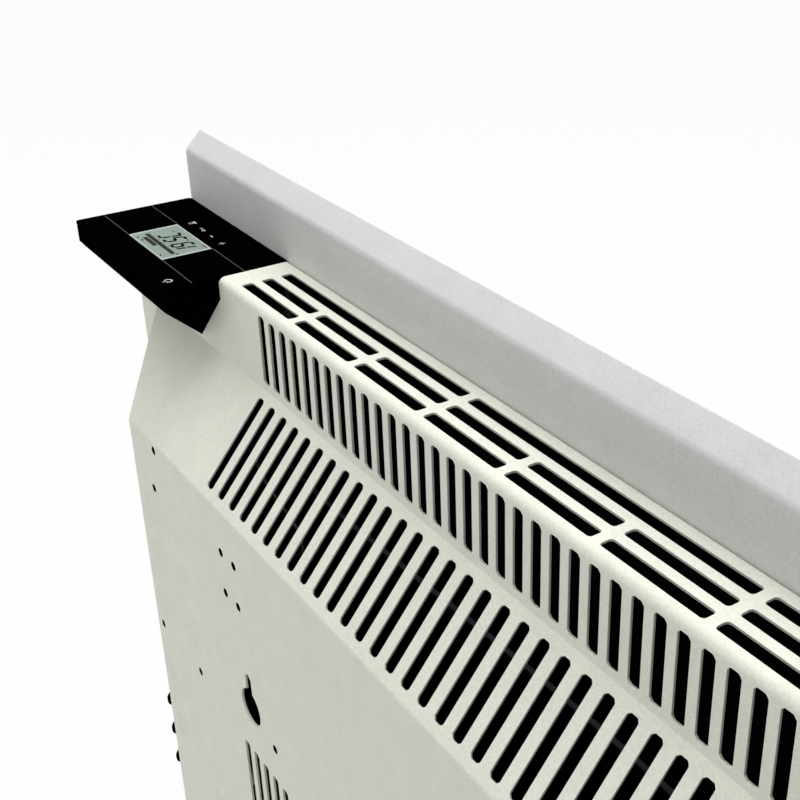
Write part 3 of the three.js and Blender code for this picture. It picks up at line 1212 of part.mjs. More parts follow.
function earthNut() {
  const face = EARTH_X - EARTH_HEAD - SEAT_GAP;
  const inner = face - EARTH_NUT_THICKNESS;
  const nut = cylinder('x', EARTH_NUT_RADIUS, inner, face, EARTH_Y, EARTH_Z, 6);
  const bore = cylinder(
    'x', EARTH_STUD_RADIUS + SEAT_GAP, inner - OVERCUT, face + OVERCUT, EARTH_Y, EARTH_Z, 12,
  );
  return toMesh('earth_nut', nut.subtract(bore), zincSteel);
}

// Cord clips on the chamfered end of the rear box.
function cordClips() {
  const slope = Math.atan2(REAR_BOX_DEPTH, REAR_BOX_END_RUN);
  return Array.from({ length: CLIP_COUNT }, (_, i) => {
    const z = CLIP_TOP_Z - i * CLIP_PITCH;
    const half = CLIP_HEIGHT / 2;
    // Drawn as (height above the face, z), swept along the face.
    const shape = outline([
      [SEAT_GAP, -half], [CLIP_PROUD, -half * CLIP_TAPER], [CLIP_PROUD, half * CLIP_TAPER], [SEAT_GAP, half],
    ]);
    const clip = sweepX(shape, CLIP_FROM_FOLD, CLIP_FROM_FOLD + CLIP_WIDTH);
    const place = new THREE.Matrix4().makeTranslation(rearBoxEndX(REAR_BOX_DEPTH, z), 0, z);
    place.multiply(new THREE.Matrix4().makeRotationZ(-slope));
    return toMesh(`cord_clip_${i + 1}`, clip.transform(place.elements), mattBlack);
  });
}

// ---------------------------------------------------------------- inner leads

function lead(name, points, material, steps = 24) {
  const route = points.map(([x, y, z]) => new THREE.Vector3(x, y, z));
  const curve = new THREE.CatmullRomCurve3(route, false, 'centripetal');
  const section = new THREE.Shape();
  section.absarc(0, 0, LEAD_RADIUS, 0, Math.PI * 2);
  const geometry = new THREE.ExtrudeGeometry(section, { steps, extrudePath: curve, curveSegments: 4 });
  return toMesh(name, solid(geometry), material);
}

function innerLeads() {
  const x = LEAD_EXIT_X;
  const y = BOARD_Y;
  const step = LEAD_SPACING;
  const top = BOARD_TOP_Z + LEAD_SHEATH;
  const under = BASE_BOTTOM_Z - HEAT_GUARD_DROP - 6;
  const reach = ELEMENT_LENGTH / 2 + ELEMENT_STUB + ELEMENT_PIN_LENGTH + SEAT_GAP;
  const tabY = CUTOUT_PLATE_Y - BRACKET_SHEET - CUTOUT_HEIGHT - CUTOUT_TAB_LENGTH - 2 * SEAT_GAP;
  const tabX = CUTOUT_TAB_SPACING / 2;
  const cutZ = CUTOUT_Z;
  const studEnd = EARTH_X - EARTH_STUD_LENGTH;
  const low = ELEMENT_Z;
  return [
    lead('live_lead', [
      [x - step, y, top], [x - step, y, under], [x - 20, y + 4, under - 16],
      [CUTOUT_X + 40, tabY - 4, cutZ + 24], [CUTOUT_X + tabX + 9, tabY - 8, cutZ + 4],
      [CUTOUT_X + tabX, tabY - 4, cutZ], [CUTOUT_X + tabX, tabY, cutZ],
    ], leadBrown),
    lead('cutout_lead', [
      [CUTOUT_X - tabX, tabY, cutZ], [CUTOUT_X - tabX, tabY - 4, cutZ], [CUTOUT_X + 10, tabY - 10, cutZ - 20],
      [CUTOUT_X + 70, tabY - 8, cutZ - 70], [reach + 14, ELEMENT_Y, low + 30], [reach + 12, ELEMENT_Y, low],
      [reach, ELEMENT_Y, low],
    ], leadBrown),
    lead('neutral_lead', [
      [x, y + step, top], [x, y + step, under], [x - 14, y + 8, under - 14],
      [120, y + 6, FOLD_Z - 44], [-120, y, FOLD_Z - 46], [-200, y, FOLD_Z - 70],
      [-reach - 14, ELEMENT_Y, low + 40], [-reach - 12, ELEMENT_Y, low], [-reach, ELEMENT_Y, low],
    ], leadBlue, 36),
    lead('earth_lead', [
      [x + step, y, top], [x + step, y, under], [x + 20, y + 1, under - 14],
      [studEnd - 12, EARTH_Y, EARTH_Z + 2], [studEnd - 4, EARTH_Y, EARTH_Z],
      [studEnd - SEAT_GAP, EARTH_Y, EARTH_Z],
    ], leadGreenYellow, 18),
    lead('sensor_lead', [
      [x, y - step, top], [x, y - step, under], [SENSOR_X - 30, SENSOR_Y - 4, 40],
      [SENSOR_X - 20, SENSOR_Y - 2, -70], [SENSOR_X - SENSOR_FROM_WALL, SENSOR_Y, SENSOR_Z + 16],
      [SENSOR_X - SENSOR_FROM_WALL, SENSOR_Y, SENSOR_Z + SENSOR_BODY_ABOVE_HOLDER + SEAT_GAP],
    ], mattBlack, 26),
  ];
}

// ---------------------------------------------------------------- assembly

const heater = new THREE.Group();
heater.name = 'wall_panel_heater';
heater.add(
  frontPanel(),
  rearCasing(),
  controllerBase(),
  controllerCover(),
  touchFascia(),
  lcdWindow(),
  lcdCell(),
  touchBoard(),
  powerBoard(),
  ...boardParts(),
  terminalBlock(),
  switchBody(),
  switchRocker(),
  heatingElement(),
  elementBush('element_bush_left', -1),
  elementBush('element_bush_right', 1),
  elementBracket('element_bracket_left', -1),
  elementBracket('element_bracket_right', 1),
  ...bracketScrews(),
  heatShield(),
  cassetteHeatGuard(),
  ...panelClips(),
  cutoutBracket(),
  thermalCutout(),
  sensorHolder(),
  temperatureSensor(),
  cordGland(),
  glandNut(),
  earthStud(),
  earthNut(),
  ...cordClips(),
  ...innerLeads(),
);

export default heater;
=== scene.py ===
"""Looks of a wall panel convector heater: finishes, softened folds, display print, light and camera.

Lengths are metres unless a name ends in _MM. +Z is up, +Y is towards the wall, and +X is towards the
controller end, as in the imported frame.
"""

import json
import math

import bmesh
import bpy
from mathutils import Matrix, Vector

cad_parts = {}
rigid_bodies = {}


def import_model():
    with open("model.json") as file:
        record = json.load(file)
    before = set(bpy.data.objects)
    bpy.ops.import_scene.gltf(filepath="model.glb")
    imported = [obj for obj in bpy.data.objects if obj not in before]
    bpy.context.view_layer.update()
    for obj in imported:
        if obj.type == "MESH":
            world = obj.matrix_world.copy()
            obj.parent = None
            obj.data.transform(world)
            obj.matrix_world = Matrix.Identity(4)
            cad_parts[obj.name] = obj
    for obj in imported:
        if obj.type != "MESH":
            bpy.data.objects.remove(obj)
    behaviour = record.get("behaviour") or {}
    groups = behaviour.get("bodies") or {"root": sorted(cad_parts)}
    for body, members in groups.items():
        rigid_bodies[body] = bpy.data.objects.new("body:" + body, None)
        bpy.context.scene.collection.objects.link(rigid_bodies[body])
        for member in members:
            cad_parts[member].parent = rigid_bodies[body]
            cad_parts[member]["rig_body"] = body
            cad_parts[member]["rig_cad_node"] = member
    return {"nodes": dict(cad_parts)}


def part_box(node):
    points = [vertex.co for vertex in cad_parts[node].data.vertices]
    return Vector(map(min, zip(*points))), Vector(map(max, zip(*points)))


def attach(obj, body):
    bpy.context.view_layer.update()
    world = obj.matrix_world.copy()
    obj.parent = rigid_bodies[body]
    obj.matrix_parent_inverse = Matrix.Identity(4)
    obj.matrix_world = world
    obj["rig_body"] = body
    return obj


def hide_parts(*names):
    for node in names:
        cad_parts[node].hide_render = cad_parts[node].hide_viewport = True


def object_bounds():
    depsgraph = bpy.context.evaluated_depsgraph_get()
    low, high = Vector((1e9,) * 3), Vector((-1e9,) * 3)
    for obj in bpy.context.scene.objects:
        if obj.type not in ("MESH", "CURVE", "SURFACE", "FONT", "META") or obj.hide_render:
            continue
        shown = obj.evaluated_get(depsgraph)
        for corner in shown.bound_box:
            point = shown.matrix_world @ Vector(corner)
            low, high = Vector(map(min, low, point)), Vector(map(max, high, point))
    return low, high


bl_info = {
    "name": "Panel Heater Looks",
    "version": (1, 0, 0),
    "blender": (4, 5, 0),
    "location": "View3D > Sidebar > Heater",
    "description": "Dresses a packed wall panel heater with finishes, prints, light and a camera",
    "category": "Object",
}

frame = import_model()
CAD_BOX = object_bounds()
MM = 0.001

# ------------------------------------------------------------------ places taken from the frame

FASCIA_LOW, FASCIA_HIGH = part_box("touch_fascia")
WINDOW_LOW, WINDOW_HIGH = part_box("lcd_window")

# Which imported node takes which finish, where the node itself is shown.
NODE_FINISHES = {
    "zinc_steel": [
        "element_bracket_left", "element_bracket_right", "bracket_screw_1", "bracket_screw_2",
        "bracket_screw_3", "bracket_screw_4",
        "earth_stud", "earth_nut",
    ],
    # Element and capacitor: aluminium made near black, as painted shade inside the casing.
    "aluminium": ["heating_element", "capacitor"],
    "ceramic": ["element_bush_left", "element_bush_right"],
    # Near black, as painted shade inside the casing: shield, guard, bracket, transformer and clips.
    "dark_steel": [
        "heat_shield", "cassette_heat_guard", "cutout_bracket", "transformer",
        "panel_clip_1", "panel_clip_2", "panel_clip_3", "panel_clip_4", "panel_clip_5", "panel_clip_6",
    ],
    "board": ["touch_board", "power_board"],
    "grey_plastic": ["terminal_block", "sensor_holder"],
    "matt_black": ["relay", "thermal_cutout", "temperature_sensor", "gland_nut"],
    # Brown and blue leads made near black, as painted shade inside the casing.
    "lead_brown": ["live_lead", "cutout_lead"],
    "lead_blue": ["neutral_lead"],
    "lead_green": ["earth_lead"],
    "lead_black": ["sensor_lead"],
    "lcd_face": ["lcd_cell"],
    "lcd_window": ["lcd_window"],
}


# ------------------------------------------------------------------ settings

def colour_setting(name, description, default):
    """A colour that a user may change, as linear red, green and blue."""
    return bpy.props.FloatVectorProperty(
        name=name, description=description, subtype="COLOR", size=3, min=0, max=1, default=default,
    )


def length_setting(name, description, default):
    """A length that a user may change, in metres."""
    return bpy.props.FloatProperty(
        name=name, description=description, default=default, min=0, precision=5, unit="LENGTH",
    )


class HeaterFinishSettings(bpy.types.PropertyGroup):
    """Colours and surface texture of the heater's finishes."""

    casing_colour: colour_setting(
        "Casing Colour", "Cream powder coat of the rear casing", (0.79, 0.79, 0.70))
    panel_colour: colour_setting(
        "Panel Colour", "Light grey powder coat of the front panel", (0.65, 0.65, 0.645))
    gloss_colour: colour_setting(
        "Gloss Black", "Moulded cover and touch surface of the controller", (0.0005, 0.0005, 0.0005))
    matt_colour: colour_setting(
        "Matt Black", "Controller base, gland, cord clips and small inner parts", (0.0006, 0.0006, 0.0006))
    display_colour: colour_setting(
        "Display Colour", "Reflective face of the display", (0.205, 0.265, 0.22))
    display_rim_colour: colour_setting(
        "Display Rim", "Pale rim of the display", (0.42, 0.48, 0.44))
    grain_size: length_setting("Powder Grain", "Width of one grain of the powder coat", 0.9 * MM)
    grain_height: length_setting("Grain Height", "Height of the powder coat's grain", 0.012 * MM)


class HeaterShapeSettings(bpy.types.PropertyGroup):
    """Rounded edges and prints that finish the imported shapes."""

    fold_radius: length_setting("Fold Width", "Rounded width of the casing's folds", 1.1 * MM)
    slot_corner: length_setting("Slot Corner", "Extra rounding in the corners of the slots", 0.45 * MM)
    slot_edge: length_setting("Slot Edge", "Rounding of the slots' punched edges", 0.16 * MM)
    panel_edge: length_setting("Panel Edge", "Rounding of the front panel's edges", 0.5 * MM)
    moulded_edge: length_setting("Moulded Edge", "Rounding of the controller, switch and gland", 0.35 * MM)
    clip_edge: length_setting("Clip Edge", "Rounding of the cord clips", 1.8 * MM)
    print_height: length_setting("Print Height", "Thickness of the printed marks", 0.03 * MM)
    line_width: length_setting("Line Width", "Width of the two lines on the touch surface", 0.28 * MM)


class HeaterStageSettings(bpy.types.PropertyGroup):
    """Camera, floor and light."""

    camera_place: bpy.props.FloatVectorProperty(
        name="Camera Place", description="Where the camera stands", subtype="TRANSLATION", unit="LENGTH",
        size=3, precision=5, default=(-0.29950, 0.15650, 0.35871),
    )
    focal_px: bpy.props.FloatProperty(
        name="Focal Length", description="Focal length in pixels of an 800 pixel wide image", default=1278.27,
    )
    centre_px: bpy.props.FloatVectorProperty(
        name="Optical Centre", description="Where the camera's axis meets the 800 pixel wide image",
        size=2, default=(510.44, 390.01),
    )
    world_strength: bpy.props.FloatProperty(
        name="Sky Strength", description="Soft light from all round", default=0.2, min=0,
    )
    wall_side_strength: bpy.props.FloatProperty(
        name="Wall Side Strength", description="Soft light added from the wall's side", default=0.57, min=0,
    )
    front_power: bpy.props.FloatProperty(
        name="Front Lamp", description="Power of the lamp above the front", default=14.4, min=0, unit="POWER",
    )
    top_power: bpy.props.FloatProperty(
        name="Top Lamp", description="Power of the lamp straight above", default=13.8, min=0, unit="POWER",
    )
    end_power: bpy.props.FloatProperty(
        name="End Lamp", description="Power of the lamp past the controller end", default=7.0, min=0,
        unit="POWER",
    )


def finishes():
    """The finish settings of this scene."""
    return bpy.context.scene.heater_finish


def shapes():
    """The shape settings of this scene."""
    return bpy.context.scene.heater_shape


# ------------------------------------------------------------------ material building

# Nearly every value of a noise lies between these two.
NOISE_LOW, NOISE_HIGH = 0.3, 0.7


class Finish:
    """One node material, built from its Principled shader outwards."""

    def __init__(self, name, roughness, metallic=0.0, specular=0.5):
        self.material = bpy.data.materials.new(name)
        self.material.use_nodes = True
        self.tree = self.material.node_tree
        self.shader = self.tree.nodes["Principled BSDF"]
        self.shader.inputs["Roughness"].default_value = roughness
        self.shader.inputs["Metallic"].default_value = metallic
        self.shader.inputs["Specular IOR Level"].default_value = specular
        self.place = self.add("ShaderNodeTexCoord").outputs["Object"]
        self.relief = None

    def add(self, kind, **properties):
        """A new node with these properties."""
        node = self.tree.nodes.new(kind)
        for key, value in properties.items():
            setattr(node, key, value)
        return node

    def link(self, output, socket):
        """Joins an output to an input."""
        self.tree.links.new(output, socket)

    def stretched(self, scale):
        """Object coordinates stretched by scale along each axis."""
        mapping = self.add("ShaderNodeMapping")
        mapping.inputs["Scale"].default_value = scale
        self.link(self.place, mapping.inputs["Vector"])
        return mapping.outputs["Vector"]

    def noise(self, size, detail=2.0, place=None):
        """Noise whose features are about that size in metres."""
        node = self.add("ShaderNodeTexNoise")
        node.inputs["Scale"].default_value = 1 / size
        node.inputs["Detail"].default_value = detail
        self.link(place or self.place, node.inputs["Vector"])
        return node.outputs["Fac"]

    def colour_between(self, mask, low, high, start=NOISE_LOW, end=NOISE_HIGH):
        """Base colour from low to high as mask goes from start to end."""
        ramp = self.add("ShaderNodeValToRGB")
        ramp.color_ramp.elements[0].position = start
        ramp.color_ramp.elements[0].color = (*low, 1)
        ramp.color_ramp.elements[1].position = end
        ramp.color_ramp.elements[1].color = (*high, 1)
        self.link(mask, ramp.inputs["Fac"])
        self.link(ramp.outputs["Color"], self.shader.inputs["Base Color"])

    def roughness_between(self, mask, low, high):
        """Roughness from low to high as a noise goes through its range."""
        spread = self.add("ShaderNodeMapRange")
        spread.inputs["From Min"].default_value = NOISE_LOW
        spread.inputs["From Max"].default_value = NOISE_HIGH
        spread.inputs["To Min"].default_value = low
        spread.inputs["To Max"].default_value = high
        self.link(mask, spread.inputs["Value"])
        self.link(spread.outputs["Result"], self.shader.inputs["Roughness"])

    def bump(self, mask, height):
        """Adds relief of that height in metres over what is there."""
        node = self.add("ShaderNodeBump")
        node.inputs["Strength"].default_value = 1.0
        node.inputs["Distance"].default_value = height
        self.link(mask, node.inputs["Height"])
        if self.relief:
            self.link(self.relief, node.inputs["Normal"])
        self.relief = node.outputs["Normal"]
        self.link(self.relief, self.shader.inputs["Normal"])


def shade(colour, factor):
    """The colour made lighter or darker by factor."""
    return tuple(min(part * factor, 1.0) for part in colour)


CLOUD_SHARE = 0.3  # how much of the powder coat's speckle is clouds and not grain
CLOUD_GRAINS = 14  # width of a cloud, in grains
RIPPLE_GRAINS = 8  # width of a ripple in the coat, in grains
RIPPLE_HEIGHT = 1.3  # its height, in heights of a grain


def powder_coat(name, colour, contrast=0.065):
    """Fine-grained powder coat: grain and ripple in the relief, clouds and speckle in the colour."""
    finish = Finish(name, 0.55, specular=0.35)
    size = finishes().grain_size
    grain = finish.noise(size, 3.0)
    cloud = finish.noise(CLOUD_GRAINS * size, 3.0)
    mix = finish.add("ShaderNodeMix", data_type="FLOAT")
    mix.inputs["Factor"].default_value = CLOUD_SHARE
    finish.link(grain, mix.inputs["A"])
    finish.link(cloud, mix.inputs["B"])
    finish.colour_between(
        mix.outputs["Result"], shade(colour, 1 - 2 * contrast), shade(colour, 1 + contrast))
    finish.roughness_between(grain, 0.5, 0.62)
    finish.bump(grain, finishes().grain_height)
    finish.bump(finish.noise(RIPPLE_GRAINS * size, 1.0), RIPPLE_HEIGHT * finishes().grain_height)
    return finish.material


def moulded_plastic(name, colour, roughness, texture=0.0, specular=0.3):
    """Moulded plastic, smooth or with a fine sparked texture."""
    finish = Finish(name, roughness, specular=specular)
    smudge = finish.noise(18 * MM, 2.0)
    finish.colour_between(smudge, shade(colour, 0.85), shade(colour, 1.2))
    finish.roughness_between(smudge, roughness * 0.85, min(roughness * 1.2, 1.0))
    if texture:
        finish.bump(finish.noise(0.35 * MM, 2.0), texture)
    return finish.material


STREAK_STRETCH = (1.0, 12.0, 12.0)  # squeezes a noise into streaks along X


def metal(name, colour, roughness):
    """Rolled or drawn metal with fine streaks along X."""
    finish = Finish(name, roughness, metallic=1.0)
    streaks = finish.noise(6 * MM, 3.0, finish.stretched(STREAK_STRETCH))
    finish.colour_between(streaks, shade(colour, 0.86), shade(colour, 1.06))
    finish.roughness_between(streaks, roughness * 0.8, roughness * 1.25)
    finish.bump(streaks, 0.01 * MM)
    return finish.material


def circuit_laminate(name):
    """Green laminate with copper runs under its lacquer."""
    finish = Finish(name, 0.35)
    runs = finish.add("ShaderNodeTexBrick")
    runs.inputs["Scale"].default_value = 160.0
    runs.inputs["Color1"].default_value = (0.012, 0.11, 0.035, 1)
    runs.inputs["Color2"].default_value = (0.018, 0.14, 0.045, 1)
    runs.inputs["Mortar"].default_value = (0.05, 0.22, 0.07, 1)
    runs.inputs["Mortar Size"].default_value = 0.03
    finish.link(finish.place, runs.inputs["Vector"])
    finish.link(runs.outputs["Color"], finish.shader.inputs["Base Color"])
    finish.bump(runs.outputs["Fac"], 0.03 * MM)
    return finish.material


def technical_ceramic(name):
    """Unglazed pressed ceramic with a dusty, pitted face."""
    finish = Finish(name, 0.8, specular=0.3)
    pits = finish.noise(0.5 * MM, 4.0)
    finish.colour_between(pits, (0.66, 0.60, 0.50), (0.80, 0.75, 0.66))
    finish.bump(pits, 0.03 * MM)
    return finish.material


def sleeved_lead(name, colour):
    """Silicone insulation with a satin skin."""
    finish = Finish(name, 0.42)
    skin = finish.noise(1.2 * MM, 2.0)
    finish.colour_between(skin, shade(colour, 0.85), shade(colour, 1.15))
    finish.bump(skin, 0.01 * MM)
    return finish.material


def earth_lead_stripes(name):
    """Green insulation with a yellow stripe along it."""
    finish = Finish(name, 0.42)
    bands = finish.noise(2.4 * MM, 0.0, finish.stretched((0.12, 1.0, 1.0)))
    finish.colour_between(bands, (0.03, 0.22, 0.04), (0.75, 0.62, 0.03), 0.49, 0.51)
    finish.bump(finish.noise(1.2 * MM), 0.01 * MM)
    return finish.material


# The display's pale rim: where it starts and where it is full, in millimetres from the window's edge.
END_RIM_MM = (1.7, 0.9)
SIDE_RIM_MM = (0.9, 0.4)


def display_face(name, colour, rim_colour, roughness):
    """Reflective display, with a pale rim that is wider at its two ends."""
    finish = Finish(name, roughness, specular=0.1)
    middle = (WINDOW_LOW + WINDOW_HIGH) / 2
    centred = finish.add("ShaderNodeMapping", vector_type="POINT")
    centred.inputs["Location"].default_value = -middle
    finish.link(finish.place, centred.inputs["Vector"])
    parts = finish.add("ShaderNodeSeparateXYZ")
    finish.link(centred.outputs["Vector"], parts.inputs["Vector"])
    rims = []
    for axis, half, (start, full) in (
        ("X", WINDOW_HIGH.x - middle.x, END_RIM_MM),
        ("Y", WINDOW_HIGH.y - middle.y, SIDE_RIM_MM),
    ):
        away = finish.add("ShaderNodeMath", operation="ABSOLUTE")
        finish.link(parts.outputs[axis], away.inputs[0])
        rim = finish.add("ShaderNodeMapRange", interpolation_type="SMOOTHSTEP")
        rim.inputs["From Min"].default_value = half - start * MM
        rim.inputs["From Max"].default_value = half - full * MM
        finish.link(away.outputs[0], rim.inputs["Value"])
        rims.append(rim.outputs["Result"])
    either = finish.add("ShaderNodeMath", operation="MAXIMUM")
    finish.link(rims[0], either.inputs[0])
    finish.link(rims[1], either.inputs[1])
    finish.colour_between(either.outputs[0], colour, rim_colour, 0.0, 1.0)
    finish.bump(finish.noise(0.25 * MM, 1.0), 0.004 * MM)
    return finish.material


def printed_ink(name, colour):
    """Screen-printed ink, slightly uneven."""
    finish = Finish(name, 0.5, specular=0.0)
    speckle = finish.noise(0.3 * MM, 2.0)
    finish.colour_between(speckle, shade(colour, 0.9), shade(colour, 1.05))
    finish.bump(speckle, 0.003 * MM)
    return finish.material


def make_materials():
    """Every finish of the heater, by name."""
    settings = finishes()
    return {
        "casing_powder": powder_coat("casing_powder", settings.casing_colour),
        "panel_powder": powder_coat("panel_powder", settings.panel_colour, 0.06),
        # The casing's coat made darker on the slot walls, as painted shade.
        "casing_wall_painted_shade": powder_coat("casing_wall_painted_shade", shade(settings.casing_colour, 0.6)),
        # Near black, as painted shade, on the casing's inner faces and the walls of its small holes.
        "casing_inside_painted_shade": moulded_plastic("casing_inside_painted_shade", (0.001, 0.001, 0.001), 0.9, 0.01 * MM, 0.0),
        "gloss_black": moulded_plastic("gloss_black", settings.gloss_colour, 0.3, specular=0.0),
        "switch_black": moulded_plastic("switch_black", (0.02, 0.02, 0.02), 0.35),
        "matt_black": moulded_plastic("matt_black", settings.matt_colour, 0.7, 0.015 * MM, 0.0),
        "grey_plastic": moulded_plastic("grey_plastic", (0.17, 0.18, 0.19), 0.55, 0.01 * MM),
        "zinc_steel": metal("zinc_steel", (0.56, 0.58, 0.60), 0.36),
        # Aluminium made near black, as painted shade inside the casing.
        "aluminium": metal("aluminium", (0.05, 0.05, 0.05), 0.6),
        # Inner steel parts made near black, as painted shade inside the casing.
        "dark_steel": moulded_plastic("dark_steel", (0.003, 0.003, 0.003), 0.85, 0.01 * MM, 0.0),
        "board": circuit_laminate("board"),
        "ceramic": technical_ceramic("ceramic"),
        # Brown and blue leads made near black, as painted shade inside the casing.
        "lead_brown": sleeved_lead("lead_brown", (0.004, 0.0015, 0.0008)),
        "lead_blue": sleeved_lead("lead_blue", (0.0008, 0.0018, 0.008)),
        "lead_green": earth_lead_stripes("lead_green"),
        "lead_black": sleeved_lead("lead_black", (0.003, 0.003, 0.003)),
        "lcd_face": display_face("lcd_face", settings.display_colour, settings.display_rim_colour, 0.5),
        "lcd_window": display_face("lcd_window", settings.display_colour, settings.display_rim_colour, 0.2),
        "digit_ink": printed_ink("digit_ink", (0.002, 0.002, 0.002)),
        "bar_ink": printed_ink("bar_ink", (0.042, 0.037, 0.037)),
        "faint_ink": printed_ink("faint_ink", (0.12, 0.13, 0.12)),
        "mark_ink": printed_ink("mark_ink", (0.55, 0.57, 0.56)),
        "line_ink": printed_ink("line_ink", (0.12, 0.122, 0.12)),
    }


MATERIALS = {}  # filled by main, once the settings are registered


# ------------------------------------------------------------------ modelling helpers

MERGE_DISTANCE = 2e-6  # vertices nearer than this are one
FLAT_TURN = math.radians(0.4)  # faces that turn by less are one flat face
SHARP_TURN = math.radians(40)  # edges that turn by more are rounded
LARGE_FACE_WEIGHT = 80  # how much a large face outweighs a small one in a smoothed normal


def select_only(*pieces):
    """Selects these objects and nothing else; the last is the active one."""
    if bpy.context.mode != "OBJECT":
        bpy.ops.object.mode_set(mode="OBJECT")
    bpy.ops.object.select_all(action="DESELECT")
    for piece in pieces:
        piece.select_set(True)
        bpy.context.view_layer.objects.active = piece


def edit(piece, kind="EDGE"):
    """Enters edit mode on the piece with nothing selected."""
    select_only(piece)
    bpy.ops.object.mode_set(mode="EDIT")
    bpy.ops.mesh.select_mode(type=kind)
    bpy.ops.mesh.select_all(action="DESELECT")
    return bmesh.from_edit_mesh(piece.data)


def pick(piece, elements, test):
    """Selects the elements of the open edit mesh that pass the test, and counts them."""
    count = 0
    for element in elements:
        if test(element):
            element.select_set(True)
            count += 1
    bmesh.update_edit_mesh(piece.data)
    return count


def leave_edit():
    """Goes back to object mode."""
    bpy.ops.object.mode_set(mode="OBJECT")


def paint(piece, finish):
    """Gives the piece one finish."""
    piece.data.materials.clear()
    piece.data.materials.append(MATERIALS[finish])


def apply_all(piece):
    """Applies every modifier in order."""
    select_only(piece)
    for modifier in list(piece.modifiers):
        bpy.ops.object.modifier_apply(modifier=modifier.name)


def copy_node(node, name, prepare=None):
    """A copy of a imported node, doubles merged, prepared, and flat faces joined up to the seams."""
    select_only(frame["nodes"][node])
    bpy.ops.object.duplicate()
    piece = bpy.context.object
    piece.name = piece.data.name = name
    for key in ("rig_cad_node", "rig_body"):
        del piece[key]
    piece.parent = None
    piece.matrix_world = Matrix.Identity(4)
    edit(piece)
    bpy.ops.mesh.select_all(action="SELECT")
    bpy.ops.mesh.remove_doubles(threshold=MERGE_DISTANCE)
    leave_edit()
    if prepare:
        prepare(piece)
    edit(piece)
    bpy.ops.mesh.select_all(action="SELECT")
    bpy.ops.mesh.dissolve_limited(angle_limit=FLAT_TURN, delimit={"SEAM"})
    leave_edit()
    return piece


def round_edges(piece, width, segments):
    """Rounds every sharp edge."""
    select_only(piece)
    bpy.ops.object.modifier_add(type="BEVEL")
    rounding = piece.modifiers[-1]
    rounding.width = width
    rounding.segments = segments
    rounding.limit_method = "ANGLE"
    rounding.angle_limit = SHARP_TURN
    rounding.use_clamp_overlap = True
    apply_all(piece)


def smooth(piece, angle=50):
    """Smooth shading with flat faces kept flat."""
    select_only(piece)
    bpy.ops.object.shade_smooth_by_angle(angle=math.radians(angle))
    bpy.ops.object.modifier_add(type="WEIGHTED_NORMAL")
    piece.modifiers[-1].keep_sharp = True
    piece.modifiers[-1].weight = LARGE_FACE_WEIGHT
    apply_all(piece)


def dress_copy(node, name, finish, width, segments=2, body="root"):
    """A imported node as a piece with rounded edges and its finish."""
    piece = copy_node(node, name)
    round_edges(piece, width, segments)
    smooth(piece)
    paint(piece, finish)
    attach(piece, body)
    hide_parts(node)


# ------------------------------------------------------------------ rear casing

SHEET = 0.95 * MM
BEAD_DEPTH = 1.6 * MM
NEAR = 0.02 * MM  # places this near to each other count as the same
BAND_Y = -31.7 * MM
FOLDS_ABOVE_Z = -140 * MM  # the folds are rounded down to here, where the box's bottom begins
GRILLE_ABOVE_Z = 84 * MM

# Heights and depths that run through the middle of every row of slots and beads.
SLOT_ROWS_Z = (140 * MM, 102.5 * MM, -55.7 * MM)
BEAD_ROWS_Z = (40 * MM, 13.9 * MM, -12.2 * MM, -64.4 * MM, -90.5 * MM)
TOP_ROW_OFFSET_MM, TOP_ROW_PITCH_MM = 6.84, 8.8
TOP_ROWS_Y = tuple(BAND_Y - (TOP_ROW_OFFSET_MM + TOP_ROW_PITCH_MM * row) * MM for row in range(3))

# A point that lies behind every outer face of the casing, so it tells outside from inside.
CASING_HEART = Vector((0, -45 * MM, 0))


def cut_through_rows(piece):
    """Cuts the sheet through its rows of slots, so that no flat face goes round a slot."""
    edit(piece)
    upright, level = (0, 0, 1), (0, 1, 0)
    cuts = [((0, 0, z), upright) for z in (FOLDS_ABOVE_Z, *SLOT_ROWS_Z, *BEAD_ROWS_Z)]
    cuts += [((0, y, 0), level) for y in TOP_ROWS_Y]
    for point, normal in cuts:
        bpy.ops.mesh.select_all(action="SELECT")
        bpy.ops.mesh.bisect(plane_co=point, plane_no=normal)
        bpy.ops.mesh.mark_seam(clear=False)
    bpy.ops.mesh.select_all(action="SELECT")
    bpy.ops.mesh.remove_doubles(threshold=MERGE_DISTANCE)
    leave_edit()


def bead_slope_edge(edge):
    """An edge that runs up the slope of a bead, on either face of the sheet."""
    heights = sorted(vertex.co.y for vertex in edge.verts)
    return any(
        abs(heights[1] - face) < NEAR and abs(heights[0] - face + BEAD_DEPTH) < NEAR
        for face in (0.0, -SHEET)
    )


def soften_beads(piece):
    """Divides the slopes of the beads, so that they shade as a soft wave."""
    mesh = edit(piece)
    if not pick(piece, mesh.edges, bead_slope_edge):
        raise RuntimeError("no bead slope found")
    bpy.ops.mesh.subdivide(number_cuts=2)
    leave_edit()


def turns_within(edge, turns):
    """Whether an edge turns by more than the first and less than the second of two angles in degrees."""
    return math.radians(turns[0]) < edge.calc_face_angle() < math.radians(turns[1])


# Which edges are bevelled: their lengths, and how far they turn, in degrees.
SHORTEST_FOLD = 1.6 * MM
FOLD_TURNS = (28, 78)
CORNER_LENGTHS = (0.6 * MM, 1.25 * MM)
CORNER_TURNS = (28, 62)
PUNCHED_TURNS = (60, 181)
FOLD_DEPTH = 1.2 * SHEET  # how far from the band's outer face a fold's vertices may lie


def fold_edge(edge):
    """A fold between the tray and the deeper box behind it, where no radius is packed."""
    if not edge.is_manifold or edge.calc_length() < SHORTEST_FOLD:
        return False
    for vertex in edge.verts:
        if abs(vertex.co.y - BAND_Y) > FOLD_DEPTH or vertex.co.z < FOLDS_ABOVE_Z - NEAR / 2:
            return False
    return turns_within(edge, FOLD_TURNS)


